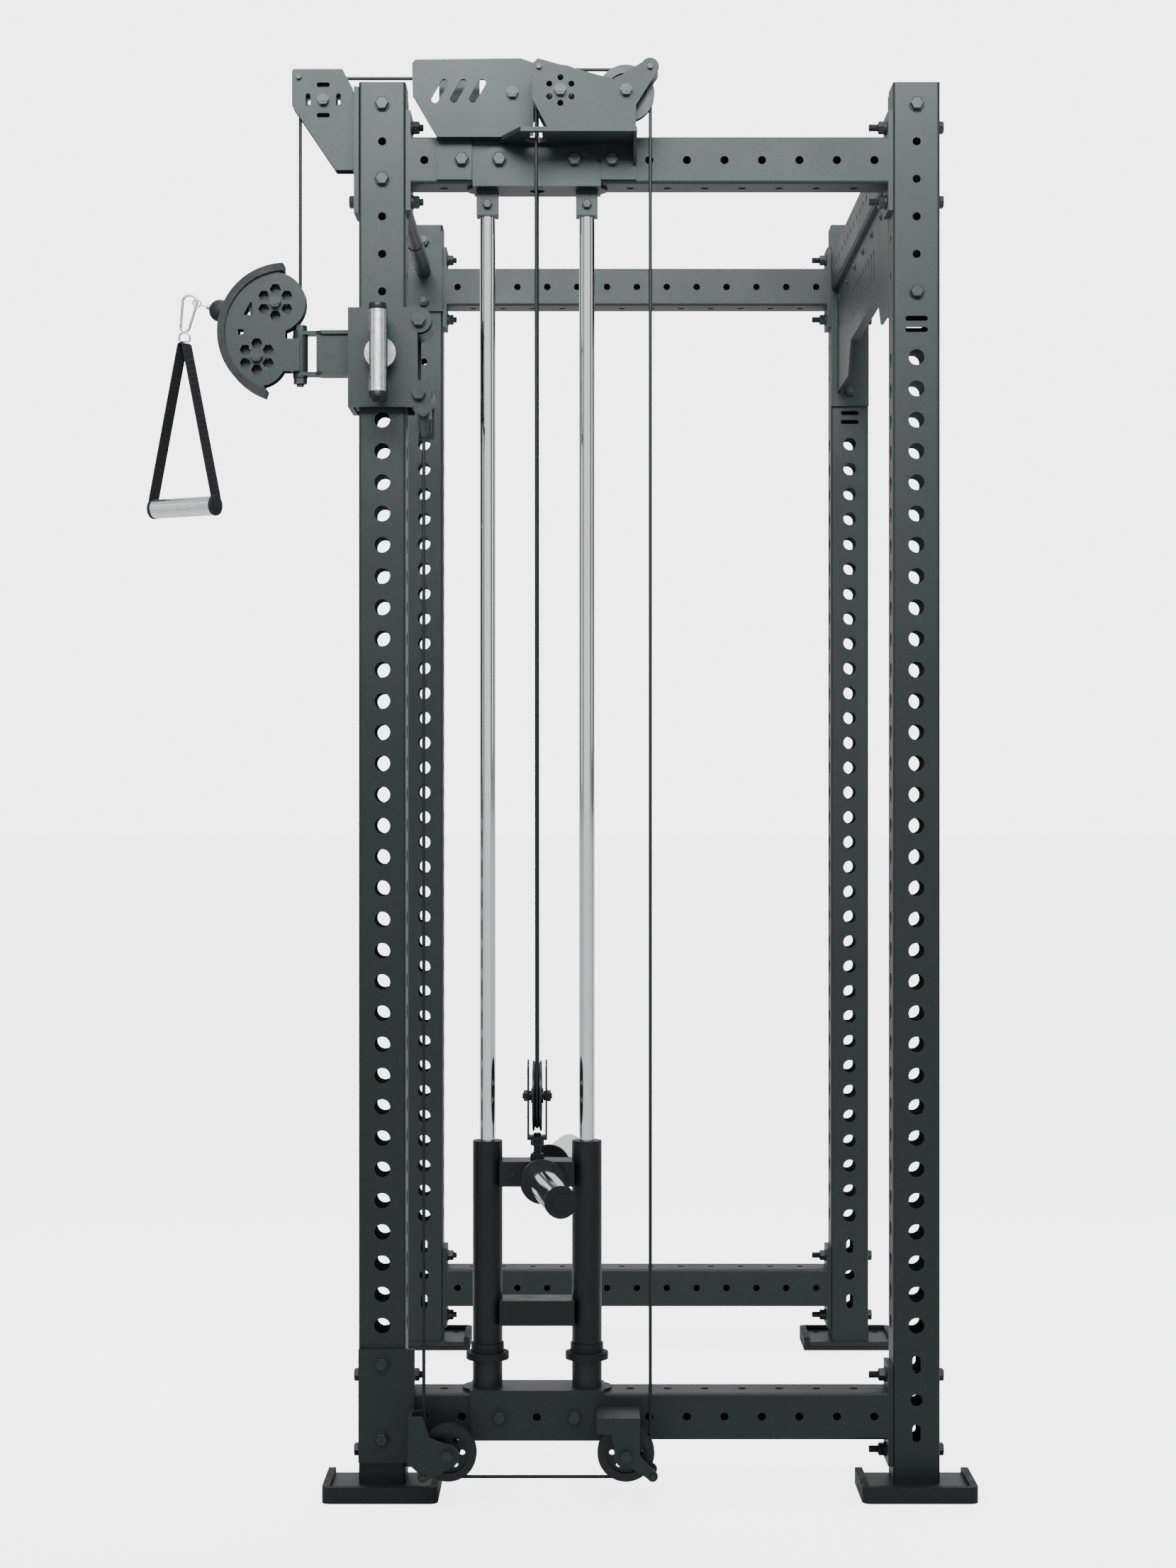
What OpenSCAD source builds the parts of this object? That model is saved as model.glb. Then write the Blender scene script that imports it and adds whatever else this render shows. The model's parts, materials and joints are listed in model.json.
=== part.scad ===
// Power cage with a plate-loaded pulley column on one side.
// Front is -X, the pulley column stands on the -Y side, Z is up.

/* [Frame] */
// Height of the uprights
height = 2260; // [2000:10:2500]
// Depth over the uprights, front to rear
depth = 930; // [780:10:1200]
// Width over the uprights, side to side
width = 1245; // [1000:5:1500]
// Side of the square tubes
tube = 75; // [70:1:80]
// Wall of the square tubes
wall = 3; // [2:0.5:4]
// Outside corner radius of the square tubes
corner = 5; // [3:0.5:8]
// Thickness of the bolted end plates
end_t = 8; // [5:1:10]
// Height of a beam's end plate
end_h = 160; // [150:5:180]

/* [Hole grid] */
// Diameter of the large index holes
hole_d = 25; // [16:1:27]
// Pitch of the large index holes
hole_pitch = 50; // [40:5:60]
// Drop from the top of an upright to its first index hole
hole_drop = 440; // [400:10:500]
// Lowest height an index hole may have
hole_low = 270; // [240:10:320]
// Pitch of the small bolt holes
bolt_pitch = 60; // [50:5:70]
// Diameter of the frame bolts
bolt_d = 12; // [10:1:14]
// Extra diameter of a bolt hole over its bolt
bolt_clear = 1; // [0.5:0.1:2]

/* [Feet] */
// Width of a foot over its bumper
foot_w = 184; // [160:2:220]
// Reach of a foot past its upright, outward
foot_out = 60; // [40:5:90]
// Top of the steel foot plate
foot_top = 17.6; // [12:0.2:24]
// Thickness of the steel foot plate
foot_t = 8; // [6:1:10]
// Height of the rubber bumper
bumper_h = 26; // [20:1:32]
// Thickness of the bumper rim
bumper_t = 12; // [8:1:16]

/* [Bars] */
// Diameter of the pull-up bar
bar_d = 28; // [25:1:34]
// Diameter of its knurled grip sleeves
bar_grip_d = 32; // [30:1:38]
// Length of each grip sleeve
bar_grip_l = 244; // [180:2:300]
// Drop from the top of the uprights to the bar
bar_drop = 95; // [80:5:110]
// Thickness of the panel under the rear crossmember
panel_t = 5; // [3:1:6]

/* [Pulley column] */
// Distance from the front uprights to the middle of the column
stack_in = 210; // [200:5:240]
// Spacing of the two guide rods
rod_pitch = 160; // [150:2:180]
// Diameter of the guide rods
rod_d = 25; // [20:1:30]
// Height of the weight carriage sleeves
sleeve_l = 325; // [280:5:360]
// Outside diameter of the carriage sleeves
sleeve_d = 48; // [42:1:52]
// Diameter of the weight horns
horn_d = 50; // [48:1:51]
// Length of the weight horns
horn_l = 222; // [180:2:280]
// Angle of the weight horns toward the rear
horn_a = 8; // [0:1:15]
// Radial clearance of a sliding fit
slide_fit = 0.1; // [0.05:0.05:0.1]

/* [Cable and pulleys] */
// Diameter of the cable
cable_d = 5.5; // [4:0.5:6]
// Radius of the small pulleys over the rim
pulley_r = 45; // [40:1:52]
// Depth of the cable's centre below a pulley rim
groove = 6.5; // [5:0.5:8]
// Width of a pulley at its hub
pulley_w = 20; // [18:1:24]
// Radius of the floating pulley over the rim
float_r = 56.5; // [50:0.5:64]
// Diameter of the pulley axle bolts
axle_d = 10; // [8:1:12]
// Radial clearance of a running fit
run_fit = 0.05; // [0.01:0.01:0.1]
// Gap kept between parts that move past each other
gap = 0.3; // [0.3:0.1:0.6]

/* [Trolley] */
// Length of the arm from the trolley to the swivel axis
arm_l = 82; // [70:1:110]
// Height between the two arm plates
arm_h = 60; // [50:2:80]
// Thickness of the trolley plates
trolley_t = 6; // [5:1:8]
// Travel of the lock pin into the upright
lock_in = 24; // [15:1:30]
// Diameter of the swivel hinge bolt
swivel_d = 12; // [10:1:14]

/* [Handle] */
// Diameter of the hand grip
grip_d = 31; // [26:1:36]
// Length of the hand grip
grip_l = 130; // [110:2:150]
// Drop from the strap ring to the grip
strap_h = 265; // [200:5:320]
// Width of the webbing strap
strap_w = 25; // [20:1:40]
// Turn of the hanging handle about the vertical
grip_turn = -30; // [-60:5:60]
// Diameter of the cable stop ball
ball_d = 36; // [30:1:44]

/* [Hidden] */
$fn = 48;
eps = 0.01;
ux = depth / 2 - tube / 2;
uy = width / 2 - tube / 2;
bx = depth / 2 - tube;
by = width / 2 - tube;
hole = bolt_d + bolt_clear;
hole_top = height - hole_drop;
hole_n = floor((hole_top - hole_low) / hole_pitch) + 1;
top_z = height - 125;
low_z = 125;
bar_z = height - bar_drop;
stack_x = -bx + stack_in;
col_y = -uy;
face_y = -width / 2;
cable_y = face_y - 67.5;
pitch_r = pulley_r - groove;
float_p = float_r - groove;
cable_r = cable_d / 2;
axle_z = top_z + 89;
back_z = top_z + 101;
p1_x = stack_x + pitch_r;
p2_x = p1_x + 103;
p3_x = stack_x - pitch_r;
p4_x = -depth / 2 - 97 + pitch_r;
swivel_x = p4_x - pitch_r;
right_x = p2_x + pitch_r;
p5_x = right_x - pitch_r;
left_x = -bx + 33;
p6_x = left_x + pitch_r;
foot_z = 84;
bracket_gap = pulley_w + 4;
plate = 5;
rod_base = low_z + tube / 2 + 5;
rod_top = top_z - tube / 2 - 7;
stop_z = rod_base + 70;
horn_z = stop_z + 267;
float_z = stop_z + 397;
pin_z = hole_top;
head_z = pin_z + 91;
horn_tip = col_y - (73 + horn_l) * cos(horn_a) - horn_d / 2 * sin(horn_a);
exit_a = 18;
ring_t = 122.5;
exit_x = swivel_x - pitch_r - pitch_r * sin(exit_a);
exit_z = head_z - pitch_r * cos(exit_a);
eye_x = exit_x - ring_t * cos(exit_a);
eye_z = exit_z + ring_t * sin(exit_a);
grip_x = eye_x - 20;
grip_z = eye_z - 64 - strap_h;
near_t = tangent([cable_y, axle_z], [col_y, float_z], float_p, 1);
far_t = tangent([col_y, back_z], [col_y, float_z], float_p, -1);
roll_x = -depth / 2 + tube + 22;
roll_r = 22 - gap;
up_x = swivel_x - pitch_r;
lo_x = up_x - 30;
lo_z = head_z - 87;
arc_x = swivel_x - 22;
arc_z = head_z - 47;
arc_r = 98;
ball_t = 83;
ball_x = exit_x - ball_t * cos(exit_a);
ball_z = exit_z + ball_t * sin(exit_a);
horn_from = [130, 68];
low_flange = 107;
x_min = grip_x - grip_l / 2 * cos(grip_turn) - abs(sin(grip_turn)) * grip_d / 2;
x_max = ux + foot_w / 2;
y_min = horn_tip;
y_max = uy + tube / 2 + foot_out;
shift = [-(x_min + x_max) / 2, -(y_min + y_max) / 2, 0];
powder = [0.25, 0.27, 0.28];
dark = [0.09, 0.09, 0.10];
steel = [0.80, 0.81, 0.83];
bolt_c = [0.16, 0.17, 0.18];

// ---- shared shapes ----

module rounded_square(side, r) {
    square([side - 2 * r, side], center = true);
    square([side, side - 2 * r], center = true);
    for (x = [-1, 1], y = [-1, 1])
        translate([x * (side / 2 - r), y * (side / 2 - r)])
            circle(r = r);
}

module tube_section() {
    difference() {
        rounded_square(tube, corner);
        rounded_square(tube - 2 * wall, corner - wall);
    }
}

// Profile in X-Z, solid from y to y + t
module plate_xz(y, t) {
    translate([0, y + t, 0])
        rotate([90, 0, 0])
            linear_extrude(t)
                children();
}

// Profile in Y-Z, solid from x to x + t
module plate_yz(x, t) {
    translate([x, 0, 0])
        rotate([90, 0, 90])
            linear_extrude(t)
                children();
}

module rod_x(d, l) {
    rotate([0, 90, 0])
        cylinder(d = d, h = l, center = true);
}

module rod_y(d, l) {
    rotate([90, 0, 0])
        cylinder(d = d, h = l, center = true);
}

module slot_2d(l, w) {
    square([l - w, w], center = true);
    for (s = [-1, 1])
        translate([s * (l - w) / 2, 0])
            circle(d = w);
}

// Bolt, washers and nut through a stack `grip` thick; head on +Z at z = 0
module bolt(grip, d = bolt_d, tail = 3) {
    translate([0, 0, -grip - 1.04 * d - 3 - tail])
        cylinder(d = d, h = grip + 1.04 * d + 3 + tail + 0.6 * d);
    cylinder(d = 2 * d, h = 2.5);
    translate([0, 0, 2.5])
        cylinder(d = 1.83 * d, h = 0.62 * d, $fn = 6);
    translate([0, 0, -grip - 2.5])
        cylinder(d = 2 * d, h = 2.5);
    translate([0, 0, -grip - 2.5 - 0.83 * d])
        cylinder(d = 1.83 * d, h = 0.83 * d, $fn = 6);
}

// Bolt along Y, head toward -Y at y
module bolt_y(x, y, z, grip, d = bolt_d, tail = 3) {
    translate([x, y, z])
        rotate([90, 0, 0])
            bolt(grip, d, tail);
}

// Bolt along X, head toward `side`
module bolt_x(x, y, z, grip, side, tail = 3) {
    translate([x, y, z])
        rotate([0, side * 90, 0])
            bolt(grip, bolt_d, tail);
}

// Pulley about its own Z axis
module pulley(r, bore) {
    p = r - groove;
    g = cable_r + gap;
    difference() {
        rotate_extrude()
            difference() {
                union() {
                    translate([bore / 2, -pulley_w / 2])
                        square([7, pulley_w]);
                    translate([bore / 2 + 6, -3])
                        square([r - bore / 2 - 12, 6]);
                    translate([r - 13, -7.5])
                        square([13, 15]);
                }
                translate([p, 0])
                    circle(r = g);
                polygon([[p, -g], [p, g], [r + 1, g + 1.5], [r + 1, -g - 1.5]]);
            }
        for (a = [0 : 60 : 300])
            rotate(a)
                translate([(r - 13 + bore / 2 + 7) / 2, 0, -4])
                    cylinder(d = 9, h = 8);
    }
}

module pulley_at(x, y, z) {
    color(dark)
        translate([x, y, z])
            rotate([90, 0, 0])
                pulley(pulley_r, axle_d + 2 * run_fit);
}

// Cable wrap about the Y axis, angles counted from +X toward +Z
module wrap(x, y, z, r, from, sweep) {
    translate([x, y, z])
        rotate([90, 0, 0])
            rotate(from)
                rotate_extrude(angle = sweep)
                    translate([r, 0])
                        circle(d = cable_d);
}

module cable_between(a, b) {
    v = b - a;
    translate(a)
        rotate([0, acos(v[2] / norm(v)), atan2(v[1], v[0])])
            cylinder(d = cable_d, h = norm(v));
}

// Axle bolt with spacers; front and back are the plates' inner faces from the pulley plane
module axle(x, y, z, front, back) {
    side = pulley_w / 2 + gap;
    translate([x, y, z])
        rotate([90, 0, 0]) {
            translate([0, 0, -back - plate - 10])
                cylinder(d = axle_d, h = front + back + 2 * plate + 20);
            translate([0, 0, side])
                cylinder(d = 18, h = front - side);
            translate([0, 0, -back])
                cylinder(d = 18, h = back - side);
            translate([0, 0, front + plate])
                cylinder(d = 20, h = 2);
            translate([0, 0, front + plate + 2])
                cylinder(d = 18.5, h = 7, $fn = 6);
            translate([0, 0, -back - plate - 2])
                cylinder(d = 20, h = 2);
            translate([0, 0, -back - plate - 9])
                cylinder(d = 18.5, h = 7, $fn = 6);
        }
}

// ---- cage ----

module upright(sx, sy) {
    color(powder)
        translate([sx * ux, sy * uy, 0])
            difference() {
                translate([0, 0, foot_top])
                    linear_extrude(height - foot_top)
                        tube_section();
                for (i = [0 : hole_n - 1])
                    translate([0, 0, hole_top - i * hole_pitch]) {
                        rod_x(hole_d, tube + 2);
                        rod_y(hole_d, tube + 2);
                    }
                for (i = [0 : 5])
                    translate([0, 0, height - 35 - i * bolt_pitch])
                        rod_y(hole, tube + 2);
                for (i = [0 : 4])
                    translate([0, 0, height - 65 - i * bolt_pitch])
                        rod_x(hole, tube + 2);
                for (z = [-60, 60])
                    translate([0, 0, low_z + z])
                        rod_x(hole, tube + 2);
                for (z = [-29, 81])
                    plate_xz(-tube / 2 - 1, tube + 2)
                        translate([0, low_z + z + 2])
                            rotate(90)
                                slot_2d(28, hole);
                translate([0, 0, low_z + 26])
                    rod_y(19, tube + 2);
                for (z = [-9, 9])
                    plate_xz(-tube / 2 - 1, tube + 2)
                        translate([0, height - 387 + z])
                            slot_2d(36, 8);
            }
}

module at_corners() {
    for (sx = [-1, 1], sy = [-1, 1])
        translate([sx * ux, sy * uy, 0])
            mirror([0, sy < 0 ? 1 : 0, 0])
                children();
}

module foot_outline(inset) {
    w = foot_w / 2 - inset;
    out = tube / 2 + foot_out - inset;
    r = 14 - inset;
    translate([-w, -40])
        square([2 * w, 40 + out - r]);
    translate([-w + r, out - r - 1])
        square([2 * (w - r), r + 1]);
    for (s = [-1, 1])
        translate([s * (w - r), out - r])
            circle(r = r);
}

module foot_plates() {
    color(powder)
        at_corners()
            difference() {
                translate([0, 0, foot_top - foot_t])
                    linear_extrude(foot_t)
                        foot_outline(bumper_t);
                for (s = [-1, 1])
                    translate([s * 60, tube / 2 + foot_out - 34, 0])
                        cylinder(d = hole, h = foot_top + 1);
            }
}

module foot_bumpers() {
    color(dark)
        at_corners()
            difference() {
                linear_extrude(bumper_h)
                    foot_outline(0);
                translate([0, 0, foot_top - foot_t])
                    linear_extrude(bumper_h)
                        foot_outline(bumper_t);
                translate([0, -40, foot_top - foot_t + bumper_h / 2])
                    cube([foot_w - 2 * bumper_t, 2, bumper_h], center = true);
                for (s = [-1, 1])
                    translate([s * 60, tube / 2 + foot_out - 34, -1])
                        cylinder(d = hole + 4, h = foot_top);
            }
}

module side_beam(sy, z, cable_hole) {
    l = 2 * bx;
    color(powder)
        translate([0, sy * uy, z])
            difference() {
                union() {
                    rotate([90, 0, 90])
                        linear_extrude(l - 2 * end_t, center = true)
                            tube_section();
                    for (s = [-1, 1])
                        translate([s * (bx - end_t / 2), 0, 0])
                            cube([end_t, tube, end_h], center = true);
                }
                for (s = [-1, 1], h = [-60, 60])
                    translate([s * bx, 0, h])
                        rod_x(hole, 2 * end_t + 2);
                for (i = [0 : floor((l - 60) / bolt_pitch)])
                    translate([-bx + 30 + i * bolt_pitch, 0, 0])
                        rod_y(hole, tube + 2);
                for (i = [0 : floor((l - 120) / bolt_pitch)])
                    translate([-bx + 60 + i * bolt_pitch, 0, 0])
                        cylinder(d = hole, h = tube + 2, center = true);
                if (cable_hole)
                    translate([stack_x, 0, 0])
                        cylinder(d = 24, h = tube + 2, center = true);
            }
}

module uprights_near() {
    upright(-1, -1);
    upright(1, -1);
}

module uprights_far() {
    upright(-1, 1);
    upright(1, 1);
}

module beams_top() {
    side_beam(-1, top_z, true);
    side_beam(1, top_z, false);
}

module beams_low() {
    side_beam(-1, low_z, false);
    side_beam(1, low_z, false);
}

module beam_bolts() {
    grip = tube + end_t;
    color(bolt_c)
        for (sx = [-1, 1], sy = [-1, 1], z = [top_z, low_z], h = [-60, 60]) {
            extra = (sx < 0 && sy < 0 && z == top_z) ? end_t : 0;
            bolt_x(sx * (depth / 2 + extra), sy * uy, z + h, grip + extra, sx, sx > 0 ? 12 : 3);
        }
}

module pullup_bar() {
    color(powder)
        translate([-ux, 0, bar_z])
            difference() {
                union() {
                    rod_y(bar_d, 2 * by - 2 * end_t);
                    for (s = [-1, 1])
                        translate([0, s * (by - end_t / 2), 0])
                            cube([tube, end_t, end_h], center = true);
                }
                rod_y(bar_d - 6, 2 * by + 1);
                for (s = [-1, 1], h = [-60, 60])
                    translate([0, s * by, h])
                        rod_y(hole, 2 * end_t + 2);
            }
}

module pullup_grips() {
    color(dark)
        for (s = [-1, 1])
            translate([-ux, s * (by - 186), bar_z])
                difference() {
                    rod_y(bar_grip_d, bar_grip_l);
                    rod_y(bar_d, bar_grip_l + 1);
                }
}

module rear_crossmember() {
    l = 2 * by;
    n = floor((by - 40) / bolt_pitch);
    color(powder)
        translate([ux, 0, bar_z])
            difference() {
                union() {
                    rotate([90, 0, 0])
                        linear_extrude(l - 2 * end_t, center = true)
                            tube_section();
                    for (s = [-1, 1])
                        translate([-tube / 2, s * (by - end_t / 2) - end_t / 2, -270])
                            cube([tube, end_t, 360]);
                }
                for (s = [-1, 1], h = [-240, 60])
                    translate([0, s * by, h])
                        rod_y(hole, 2 * end_t + 2);
                for (i = [-n : n])
                    translate([0, i * bolt_pitch, 0])
                        rod_x(hole, tube + 2);
            }
}

// Panel face below the rear crossmember with plain slots
module rear_panel() {
    top = bar_z - tube / 2;
    e = by - end_t;
    color(powder)
        difference() {
            union() {
                plate_yz(ux - 25.5, panel_t)
                    polygon([
                        [-e, top], [e, top], [e, top - 205], [e - 235, top - 205],
                        [e - 290, top - 145], [-e + 290, top - 145],
                        [-e + 235, top - 205], [-e, top - 205]
                    ]);
                translate([ux - 25.5, -e + 290, top - 145])
                    cube([16, 2 * e - 580, 4]);
                translate([ux - 25.5, -e, top - 5])
                    cube([16, 2 * e, 5]);
            }
            for (i = [-4 : 4])
                plate_yz(ux - 27, panel_t + 3)
                    translate([i * 48, top - 84])
                        rotate(90)
                            slot_2d(60, 16);
        }
}

module button_screws() {
    top = bar_z - tube / 2;
    for (i = [-3 : 3])
        translate([ux - 25.5, i * 160, top - 24])
            rotate([0, -90, 0])
                cylinder(d = 12, h = 4);
}

module cross_bolts() {
    grip = tube + end_t;
    color(bolt_c) {
        for (s = [-1, 1]) {
            for (h = [-60, 60])
                translate([-ux, s * width / 2, bar_z + h])
                    rotate([-s * 90, 0, 0])
                        bolt(grip);
            for (h = [-240, 60])
                translate([ux, s * width / 2, bar_z + h])
                    rotate([-s * 90, 0, 0])
                        bolt(grip);
        }
        button_screws();
    }
}

// ---- pulley column ----

module flange_2d(w, rise, chamfer_x, chamfer_z) {
    polygon([
        [-w, 0], [-w, rise - chamfer_z], [-w + chamfer_x, rise],
        [w - chamfer_x, rise], [w, rise - chamfer_z], [w, 0]
    ]);
}

module stadium(r, t) {
    linear_extrude(t) {
        square([rod_pitch, 2 * r], center = true);
        for (s = [-1, 1])
            translate([s * rod_pitch / 2, 0])
                circle(r = r);
    }
}

module rod_bracket_top() {
    base = top_z - tube / 2 - plate;
    color(powder)
        translate([stack_x, col_y, base])
            difference() {
                union() {
                    for (s = [-1, 1])
                        translate([0, s * (tube / 2 + plate / 2) - plate / 2, 0])
                            plate_xz(0, plate)
                                flange_2d(102.5, 61.5, 28, 27);
                    translate([-102.5, -tube / 2 - plate, 0])
                        cube([205, tube + 2 * plate, plate]);
                    stadium(33, plate);
                    for (s = [-1, 1])
                        translate([s * rod_pitch / 2 - 17.5, -17.5, -41.5])
                            cube([35, 35, 42]);
                }
                for (s = [-1, 1]) {
                    translate([s * rod_pitch / 2, 0, -42])
                        cylinder(d = rod_d, h = rod_top - base + 42);
                    translate([s * rod_pitch / 2, 0, -24])
                        rod_y(8, 40);
                    translate([s * 60, 0, tube / 2 + plate])
                        rod_y(hole, tube + 20);
                }
                translate([0, 0, -1])
                    cylinder(d = 24, h = plate + 2);
            }
}

module rod_bracket_low() {
    base = low_z - tube / 2;
    color(powder)
        translate([stack_x, col_y, base])
            difference() {
                union() {
                    for (s = [-1, 1])
                        translate([0, s * (tube / 2 + plate / 2) - plate / 2, 0])
                            plate_xz(0, plate)
                                flange_2d(low_flange, tube + plate, 1, 1);
                    translate([-low_flange, -tube / 2 - plate, tube])
                        cube([2 * low_flange, tube + 2 * plate, plate]);
                    translate([0, 0, tube])
                        stadium(40, plate);
                    for (x = [-1, 1])
                        translate([x * rod_pitch / 2, 0, tube + plate])
                            cylinder(d = sleeve_d, h = 44);
                }
                for (x = [-60, 0, 60])
                    translate([x, 0, tube / 2])
                        rod_y(hole, tube + 20);
                for (s = [-1, 1])
                    translate([s * rod_pitch / 2, 0, tube - 1])
                        cylinder(d = rod_d, h = plate + 46);
            }
}

module at_rods() {
    for (s = [-1, 1])
        translate([stack_x + s * rod_pitch / 2, col_y, 0])
            children();
}

module guide_rods() {
    color(steel)
        at_rods()
            difference() {
                translate([0, 0, rod_base - plate])
                    cylinder(d = rod_d, h = rod_top - rod_base + plate);
                translate([0, 0, top_z - tube / 2 - plate - 24])
                    rod_y(8, 40);
            }
}

module rubber_stops() {
    color(dark)
        at_rods()
            difference() {
                union() {
                    translate([0, 0, rod_base + 44])
                        cylinder(d = 69, h = 11);
                    translate([0, 0, rod_base + 55])
                        cylinder(d = 53, h = 15);
                }
                translate([0, 0, rod_base + 43])
                    cylinder(d = rod_d, h = 28);
            }
}

module column_bolts() {
    color(bolt_c) {
        for (s = [-1, 1]) {
            bolt_y(stack_x + s * 60, face_y - plate, top_z, tube + 2 * plate);
            bolt_y(stack_x + s * 120, face_y - plate, top_z, tube + plate);
            bolt_y(stack_x + s * 60, face_y - plate, low_z, tube + 2 * plate);
            translate([stack_x + s * rod_pitch / 2, col_y - 17.5, top_z - tube / 2 - plate - 24])
                rotate([90, 0, 0])
                    bolt(35, 8, 1);
        }
        bolt_y(stack_x + 120, face_y - plate, low_z, tube + plate);
        for (h = [-34, 86])
            bolt_y(-ux, face_y - end_t, low_z + h, tube + end_t);
    }
}

// Front plate of the two-pulley housing
module twin_plate() {
    difference() {
        union() {
            polygon([
                [stack_x + 3, top_z + 139], [stack_x - 4, top_z + 132],
                [stack_x - 5.5, top_z + 76], [stack_x + 17.5, top_z + 32],
                [stack_x + 157, top_z + 32], [stack_x + 157, top_z + 66],
                [stack_x + 190, top_z + 118], [stack_x + 184, top_z + 138],
                [stack_x + 168, top_z + 134], [stack_x + 123, top_z + 106]
            ]);
            translate([right_x - 1, top_z + 126])
                circle(r = 14);
        }
        translate([p1_x, axle_z])
            circle(d = axle_d);
        translate([p2_x, axle_z])
            circle(d = axle_d);
        translate([stack_x + 5, top_z + 126])
            circle(d = 8);
        translate([right_x - 1, top_z + 126])
            circle(d = 8);
        for (a = [30 : 60 : 330])
            translate([p1_x + 20 * cos(a), axle_z + 20 * sin(a)])
                circle(d = 9.4);
    }
}

module shield_plate() {
    difference() {
        polygon([
            [stack_x - 198, top_z + 148], [stack_x - 193, top_z + 154],
            [stack_x - 26, top_z + 156], [stack_x - 5, top_z + 149],
            [stack_x - 5, top_z + 31], [stack_x - 159, top_z + 31],
            [stack_x - 197, top_z + 96]
        ]);
        translate([p3_x, back_z])
            circle(d = axle_d);
        for (i = [0 : 2])
            translate([stack_x - 154 + i * 30, top_z + 104])
                rotate(60)
                    slot_2d(42, 12);
    }
}

module back_plate() {
    difference() {
        union() {
            polygon([
                [stack_x - 160, top_z + tube / 2], [stack_x - 160, top_z + 146],
                [stack_x - 94, top_z + 146], [stack_x - 94, top_z + 84],
                [stack_x - 54, top_z + 84], [p3_x - 14, back_z + 8],
                [p3_x + 14, back_z + 8], [stack_x - 16, top_z + tube / 2]
            ]);
            translate([p3_x, back_z])
                circle(r = 18);
        }
        translate([p3_x, back_z])
            circle(d = axle_d);
    }
}

module pulley_housing() {
    shelf = top_z + 25;
    shield_y = face_y - 27.5;
    color(powder)
        difference() {
            union() {
                plate_xz(cable_y - bracket_gap / 2 - 15.5, plate)
                    twin_plate();
                plate_xz(cable_y + bracket_gap / 2 + 10.5, plate)
                    twin_plate();
                plate_xz(shield_y, plate)
                    shield_plate();
                plate_xz(col_y + 30, plate)
                    back_plate();
                translate([0, 0, shelf])
                    linear_extrude(7)
                        polygon([
                            [stack_x - 56, face_y], [stack_x - 56, shield_y],
                            [stack_x - 24, cable_y - 27.5], [stack_x + 159, cable_y - 27.5],
                            [stack_x + 159, face_y]
                        ]);
                translate([stack_x - 159, shield_y, top_z + 31])
                    cube([104, 27.5, plate]);
                for (x = [-160, 103])
                    translate([stack_x + x, face_y - plate, top_z - 32])
                        cube([56, plate, x < 0 ? 66 : 60]);
                plate_yz(stack_x + 154, plate)
                    polygon([
                        [face_y, top_z - 20], [face_y - 5, top_z - 20],
                        [face_y - 5, top_z - 10], [cable_y - 27.5, top_z + 26],
                        [cable_y - 27.5, top_z + 32], [face_y, top_z + 32]
                    ]);
            }
            for (s = [-1, 1])
                translate([stack_x + s * 120, face_y, top_z])
                    rod_y(hole, 20);
            translate([stack_x, face_y - 31, shelf - 1])
                cylinder(d = 36, h = 9);
            translate([stack_x - 9.5, cable_y - 14, shelf - 1])
                cube([19, 50, 9]);
        }
}

// Bracket outline of the pulley at the top of the front upright
module corner_plate() {
    x = -depth / 2;
    difference() {
        polygon([
            [x - 106, top_z + 151], [x - 28, top_z + 151], [x - 11, top_z + 119],
            [x - 11, top_z - 11], [x - 39, top_z - 11], [x - 109, top_z + 92],
            [x - 109, top_z + 148]
        ]);
        translate([p4_x, back_z])
            circle(d = axle_d);
        translate([swivel_x - 1, top_z + 138])
            circle(d = 8);
        for (a = [0 : 90 : 270])
            translate([p4_x, back_z])
                rotate(a)
                    translate([24.5, 0])
                        rotate(90)
                            slot_2d(21, 7.5);
    }
}

module corner_pulley_bracket() {
    x = -depth / 2;
    color(powder)
        difference() {
            union() {
                for (s = [-1, 1])
                    plate_xz(col_y + s * (bracket_gap / 2 + plate / 2) - plate / 2, plate)
                        corner_plate();
                translate([x - end_t, col_y - tube / 2, top_z - 84])
                    cube([end_t, tube, 202]);
                translate([x - 12, col_y - bracket_gap / 2 - plate, top_z - 11])
                    cube([4.1, bracket_gap + 2 * plate, 120]);
            }
            for (h = [-60, 60])
                translate([x, col_y, top_z + h])
                    rod_x(hole, 30);
            translate([x - 13, col_y, top_z + 60])
                rod_x(2 * bolt_d + 2, 10 + eps);
        }
}

// Side plate of the low pulley bracket at the front upright
module low_front_plate() {
    difference() {
        union() {
            polygon([
                [left_x - 18, low_z + 20], [left_x, low_z + 20], [left_x + 11, low_z - 13],
                [left_x + 30, low_z - 20], [p6_x + 10, foot_z + 16], [p6_x + 10, foot_z - 16],
                [left_x + 6, low_z - 80], [left_x - 18, low_z - 58]
            ]);
            translate([p6_x, foot_z])
                circle(r = 19);
            translate([left_x, low_z - 74])
                circle(r = 8.5);
        }
        translate([p6_x, foot_z])
            circle(d = axle_d);
        translate([left_x, low_z - 74])
            circle(d = 8);
    }
}

module low_bracket_front() {
    y0 = cable_y - 27.5;
    wx = left_x - 23;
    color(powder)
        difference() {
            union() {
                plate_xz(y0, plate)
                    low_front_plate();
                plate_xz(cable_y + 22.5, plate)
                    low_front_plate();
                translate([wx, y0, low_z - 58])
                    cube([plate, face_y - y0, 78]);
                translate([-depth / 2, face_y - end_t, low_z - 72])
                    cube([wx + plate + depth / 2, end_t, 181]);
            }
            for (h = [-34, 86])
                translate([-ux, face_y, low_z + h])
                    rod_y(hole, 30);
        }
}

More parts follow.
